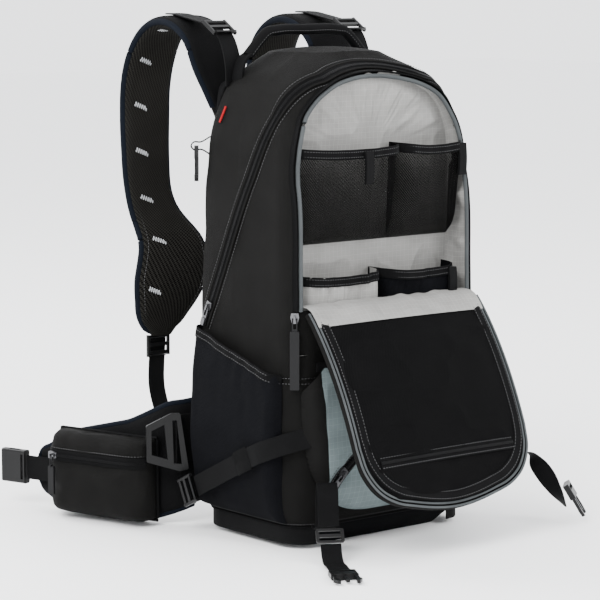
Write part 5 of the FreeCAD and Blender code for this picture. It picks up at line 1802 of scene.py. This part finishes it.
@dataclass
class HipBelt(Assembly):
    """The padded belt wings with zipped pockets, hook webbing and end webbing.

    Args:
        corner: where the left wing's straight part starts, in millimetres.
        heading: its direction.
        thick: the wings' thickness.
        pocket_depth: how far a pocket stands off its wing.
        zip_height: the pocket zip's height.
    """

    corner: tuple = (-134.0, 88.0, 0.0)
    heading: tuple = (-46.0, 152.0, 0.0)
    thick: float = 13.0
    pocket_depth: float = 31.6
    zip_height: float = 66.0

    def build(self) -> None:
        """Makes each wing as a padded strip along its path, then its pocket and webbing."""
        path = smooth_line(np.array([(-98, 84, 0), (-108, 85, 0), (-122, 88.5, 0), (-134, 99, 0), (-141, 112, 0),
                                     (-150, 141, 0), (-165, 190, 0), (-180, 240, 0)], float), 150)
        reach = (path @ np.array([-0.77, 0.63, 0])) / 0.9949
        low = np.interp(reach, [110, 128, 160, 190, 240, 270, 300], [26, 22, 12, 2, 2, 6, 26])
        high = np.interp(reach, [110, 160, 200, 262, 286, 300], [127, 122, 100, 82, 64, 57])
        kernel = np.ones(9) / 9
        low = np.convolve(np.pad(low, 4, "edge"), kernel, "valid")
        high = np.convolve(np.pad(high, 4, "edge"), kernel, "valid")
        skin, face = pad_strip(path, UP, low, high, self.thick, 3.0)
        mesh, cloth = skin.kept(-face - 0.05), skin.kept(face + 0.05)
        upper, lower = path[4:] + np.outer(high[4:], UP), path[4:] + np.outer(low[4:], UP)
        edge = smooth_line(np.concatenate([upper, lower[::-1]])[::4], 300)
        for part, finish, name, replaces in ((mesh, STRAP_CLOTH, "wing_face", ["hip_wing_left"]),
                                             (cloth, SPACER, "wing_mesh", []),
                                             (tube(edge, 3.4, 12), BINDING, "wing_binding", [])):
            self.pair(name, part, finish, replaces, "wing_left")
        self._pocket()
        line = [(-100, 72, 90), (-106, 73.8, 90), (-127, 74.2, 90), (-134.5, 72.2, 90), (-139, 70, 90)]
        web = strap(line, 48, UP, 1.6, 50)
        for side, part in (("left", web), ("right", web.mirrored())):
            obj = self.shop.make(f"hip_hook_web_{side}", part, WEBBING, None, [f"hip_webbing_{side}"])
            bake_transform(obj)
        end = strap(self._beside([126, 140, 160, 175], [7.4, 9.0, 9.4, 9.4], 42), 25, UP, 1.6, 40)
        self.pair("belt_end_web", end, WEBBING, [], "wing_left")

    @property
    def along(self) -> Array:
        """The wing's direction, level with the ground."""
        return unit(np.array(self.heading))

    @property
    def out(self) -> Array:
        """The direction out of the wing's outer face."""
        return np.array([-self.along[1], self.along[0], 0])

    def _beside(self, a: Array, o: Array, z: Array) -> Array:
        """Points set out from the wing's corner."""
        a, o, z = np.broadcast_arrays(np.asarray(a, float), np.asarray(o, float), np.asarray(z, float))
        return np.array(self.corner) + a[..., None] * self.along + o[..., None] * self.out + z[..., None] * UP

    def _loose(self, points: Array) -> Array:
        """How free points of the pocket are to move: not along the zip, nor where it is sewn to the wing."""
        off = (points - self._beside(0.0, 0.0, 0.0)) @ self.out
        return np.clip(np.abs(points[:, 2] - self.zip_height) / 9 - 0.8, 0, 1) * np.clip((off - 10) / 8, 0, 1)

    def _pocket(self) -> None:
        """Makes the zipped pocket on each wing, its zip, and the piping round it."""
        along, out = self.along, self.out
        u, v = np.meshgrid(np.linspace(-1, 1, 100), np.linspace(-1, 1, 90))
        a, z = 69 + 61 * u, 47 + 42 * v
        height = pillow(u, v, 8, 0.34)
        at = np.stack([a, z, 0 * a], -1)
        flat = np.clip(np.abs(z - self.zip_height) / 8, 0, 1)
        folds = (1.8 * value_noise(at, 26, 141) - 1.6 * creases(at, (1.6, 1, 1), 24, 143)) * flat
        o = 7.3 + (self.pocket_depth + folds) * height
        skin = Skin.grid(self._beside(a, o, z), np.stack([a, z], -1))
        rear = Skin.grid(self._beside(a, 7.0, z), np.stack([a, z], -1), flip=True)
        skin = Stuffing(4.0, 4.0, 5.0).fill(Skin.joined([skin, rear]), self._loose)
        skin.uv = np.stack([(skin.points - self._beside(0.0, 0.0, 0.0)) @ along, skin.points[:, 2]], -1)
        fine = 0.9 * value_noise(skin.points, 17, 145) * self._loose(skin.points)
        skin.points += fine[:, None] * out
        self.pair("hip_pocket_face", skin, NYLON, ["hip_pocket_left"], "wing_left")
        height = pillow(np.linspace(-0.97, 0.97, 90), 0, 8, 0.34)
        run = self._beside(np.linspace(10, 128, 90), 7.3 + (self.pocket_depth + 0.3) * height, self.zip_height)
        tape = ring_loft(sections(run, UP, oval(11.5, 1.6, 12, 5)))
        coil = ring_loft(sections(run + out * 0.9, UP, oval(3.0, 1.2, 10, 3)))
        self.pair("hip_zip_tape", tape, TAPE_BLACK, [], "wing_left")
        self.pair("hip_zip_coil", coil, COIL, [], "wing_left")
        long, short = np.linspace(-0.99, 0.99, 60), np.linspace(-0.99, 0.99, 40)
        rim_u = np.concatenate([long, np.full(40, 0.99), long[::-1], np.full(40, -0.99)])
        rim_v = np.concatenate([np.full(60, -0.99), short, np.full(60, 0.99), short[::-1]])
        rim = self._beside(69 + 61 * rim_u, np.full(200, 8.8), 47 + 42 * rim_v)
        piping = tube(smooth_line(rim[::3], 240), 1.7, 8)
        self.pair("hip_pocket_piping", piping, TAPE_BLACK, [], "wing_left")
        rows = stitches(run + UP * 7.2 + out * 0.4, out)
        self.pair("hip_pocket_stitching", rows, THREAD, [], "wing_left")


@dataclass
class Trims(Assembly):
    """The base tape, carry loops and free straps, grab handle, its tabs, and the accessory clip's loop.

    Args:
        webbing: the carry straps' width, in millimetres.
        handle: the grab handle's radius.
    """

    webbing: float = 20.0
    handle: float = 5.4

    def build(self) -> None:
        """Makes the trims round the base and top, then the carry straps."""
        for side, name in ((-1, "left"), (1, "right")):
            ring = self.form.rings(np.array([17.0]))[0]
            half = ring[ring[:, 0] * side > 0.3 * np.abs(ring[:, 0]).max()]
            half = half[np.argsort(-half[:, 1])] * [1.018, 1.018, 0] + [0, 0, 12.5]
            keep = (half[:, 1] < 62) & (np.abs(half[:, 0]) > 84)
            line = half[keep][::3]
            base = strap(line, 17, UP, 1.5, 110)
            self.shop.make(f"base_tape_{name}", base, WEBBING)
            rows = [(88, 440), (86, 456), (80, 468), (74, 471.5)]
            tab = strap([(side * x, 35, z) for x, z in rows], 15, [0, 1, 0], 3.0, 50)
            self.shop.make(f"handle_tab_{name}", tab, HANDLE)
        rise = [(75, 469.4), (70, 474.4), (60, 484.4), (50, 492.2), (38, 494)]
        up, down = [(-x, 35, z) for x, z in rise], [(x, 35, z) for x, z in reversed(rise)]
        arch = smooth_line([*up, (0, 35, 494.4), *down], 160)
        self.shop.make("grab_handle_cover", tube(arch, self.handle, 20), HANDLE, "handle", ["grab_handle"])
        seam = stitches(arch + [0, -5.2, -1.2], [0, -1, -0.2])
        self.shop.make("grab_handle_stitching", seam, THREAD, "handle")
        self._carry()
        root, heading = np.array([-79.0, 34.0, 0]), np.array([-0.766, 0.643, 0])
        s = np.array([(34, 391), (44, 385.6), (51, 385.2), (53.2, 381.8), (51, 378.4), (43, 378.2), (34, 373)],
                     float)
        loop = root + s[:, :1] * heading + s[:, 1:] * UP
        self.shop.make("clip_loop", strap(loop, 6, [0.643, 0.766, 0], 1.2, 60), WEBBING)

    def _carry(self) -> None:
        """Makes the two carry loops at the front and the free straps that hang from them."""
        left, lh = np.array([-101.0, -113, 0]), np.array([-0.5, -0.866, 0])
        right, rh = np.array([127.0, -92, 0]), np.array([0.658, -0.753, 0])
        side_l, side_r = np.array([-lh[1], lh[0], 0]), np.array([-rh[1], rh[0], 0])
        loop = self._hung(left, lh, [(-20, 24.7), (-8, 24.2), (2, 27), (5, 60), (9, 71.5), (13.5, 66), (17, 44),
                                     (20.6, 32.4)])
        self.shop.make("carry_loop_left", strap(loop, self.webbing, side_l, 1.5, 90), WEBBING)
        loop = self._hung(right, rh, [(-10, 78), (6, 77.8), (24, 77)])
        self.shop.make("carry_loop_right", strap(loop, self.webbing, side_r, 1.5, 40), WEBBING)
        tail = self._hung(left, lh, [(30.6, 17.8), (35, 9), (42, 3.6), (60, 3.1), (84, 3.2)])
        web = strap(tail, self.webbing, side_l, 1.5, 70)
        self.shop.make("carry_web_left", web, WEBBING, "carry_left", ["carry_strap_left"])
        tail = self._hung(right, rh, [(41, 71.6), (50, 67.5), (56, 58), (64, 47), (73, 33), (84, 16)])
        swing = np.radians([0, 25, 62, 72, 50, 12])[:, None]
        flank = unit(np.cross(np.gradient(tail, axis=0), side_r))
        turned = side_r * np.cos(swing) - flank * np.sin(swing)
        web = strap(tail, self.webbing, turned, 1.5, 110)
        self.shop.make("carry_web_right", web, WEBBING, "carry_right", ["carry_strap_right"])

    @staticmethod
    def _hung(root: Array, heading: Array, rows: Sequence) -> Array:
        """Points in an upright plane."""
        flat = np.asarray(rows, float)
        return root + flat[:, :1] * heading + flat[:, 1:] * UP


HARDWARE_FINISHES = {
    ZIP_METAL: ("zip_sliders", "flap_zip_slider", "stash_zip_slider", "hip_zip_slider_left", "hip_zip_slider_right",
                "flap_zip_pull", "stash_zip_pull", "main_zip_pull_left", "main_zip_pull_right"),
    RUBBER: ("front_zip_pull", "hip_zip_pull_left", "hip_zip_pull_right"),
    ACETAL: ("compression_locks", "harness_ladder_locks", "sternum_housing", "sternum_prongs", "hip_hook_left",
             "hip_hook_right", "belt_buckle_housing", "belt_buckle_prongs", "carry_buckle_left",
             "carry_buckle_right", "clip_hook", "clip_gate"),
    SHEET: ("frame_sheet",),
    ALLOY: ("frame_stays",),
}


@dataclass
class Hardware(Assembly):
    """The rigid pieces carried over from the CAD.

    Args:
        nodes: the CAD nodes by name.
        crease: the angle in degrees above which an edge stays sharp.
    """

    nodes: dict
    crease: float = 32.0

    def build(self) -> None:
        """Gives the rigid pieces their finishes and smooth shading."""
        for finish, names in HARDWARE_FINISHES.items():
            for name in names:
                obj = self.nodes[name]
                obj.data.materials.clear()
                obj.data.materials.append(self.shop.materials.get(finish))
                obj.data.polygons.foreach_set("use_smooth", np.ones(len(obj.data.polygons), bool))
                obj.data.set_sharp_from_angle(angle=math.radians(self.crease))
            LOG.info("dressed %s in %s", ", ".join(names), finish.name)


# ------------------------------------------------------------------ the stage
@dataclass(frozen=True)
class Lamp:
    """One soft area light.

    Args:
        name: its name.
        place: where it stands, in metres.
        power: watts.
        size: width in metres.
    """

    name: str
    place: tuple[float, float, float]
    power: float
    size: float


FLOOR_REACH, FLOOR_GAP = 9000, 0.6
SKY_STRENGTH = 2.6
FOCAL_LENGTH = 154.1
CAMERA_PLACE = np.array([-1.660, -1.934, 0.561])
CAMERA_AIM = np.array([0.6373, 0.7595, -0.1305])
LAMPS = (
    Lamp("key", (-2.2, -1.0, 2.2), 120.0, 1.5),
    Lamp("fill", (1.4, -2.6, 1.9), 60.0, 1.6),
    Lamp("rear", (-0.8, 2.0, 2.1), 60.0, 1.4),
)


def set_stage(shop: Workshop) -> None:
    """Adds the pale floor, the lights, the world and the camera.

    Args:
        shop: makes the floor.
    """
    reach = FLOOR_REACH
    corners = np.array([[[-reach, -reach, 0], [reach, -reach, 0]], [[-reach, reach, 0], [reach, reach, 0]]], float)
    floor = shop.make("floor", Skin.grid(corners - [0, 0, FLOOR_GAP]), FLOOR, None)
    aim = np.array([0, -0.02, 0.24])
    for lamp in LAMPS:
        data = bpy.data.lights.new(lamp.name, "AREA")
        data.energy = lamp.power
        data.shape = "DISK"
        data.size = lamp.size
        obj = bpy.data.objects.new(lamp.name, data)
        bpy.context.scene.collection.objects.link(obj)
        obj.matrix_world = facing(np.array(lamp.place), aim - np.array(lamp.place))
    world = bpy.data.worlds.new("studio")
    world.use_nodes = True
    sky = next(n for n in world.node_tree.nodes if n.type == "BACKGROUND")
    sky.inputs["Color"].default_value = (0.97, 0.98, 1.0, 1.0)
    sky.inputs["Strength"].default_value = SKY_STRENGTH
    bpy.context.scene.world = world
    lens = bpy.data.cameras.new("camera")
    lens.lens = FOCAL_LENGTH
    lens.sensor_width = 36.0
    lens.clip_end = 60.0
    camera = bpy.data.objects.new("camera", lens)
    bpy.context.scene.collection.objects.link(camera)
    camera.matrix_world = facing(CAMERA_PLACE, CAMERA_AIM)
    bpy.context.scene.camera = camera


def facing(place: Array, forward: Array) -> Matrix:
    """The matrix of something that stands at a place and looks along a direction, upright.

    Args:
        place: the place, in metres.
        forward: the direction.

    Returns:
        The matrix.
    """
    ahead = unit(forward)
    right = unit(np.cross(ahead, UP))
    above = np.cross(right, ahead)
    rows = np.eye(4)
    rows[:3, 0], rows[:3, 1], rows[:3, 2], rows[:3, 3] = right, above, -ahead, place
    return Matrix(rows.tolist())


def main(frame: dict) -> None:
    """Builds the daypack on its frame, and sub-assembly by sub-assembly.
    """
    logging.basicConfig(level=logging.INFO)
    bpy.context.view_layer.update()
    shop, form = Workshop(), BodyForm()
    for kind in (Shell, Organiser, Flap, StashPocket, SidePockets, BackPanel, Harness, HipBelt, Trims):
        kind(shop, form).build()
        LOG.info("built %s", kind.__name__)
    Hardware(shop, form, frame["nodes"]).build()
    set_stage(shop)


if __name__ == "__main__":
    main(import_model())
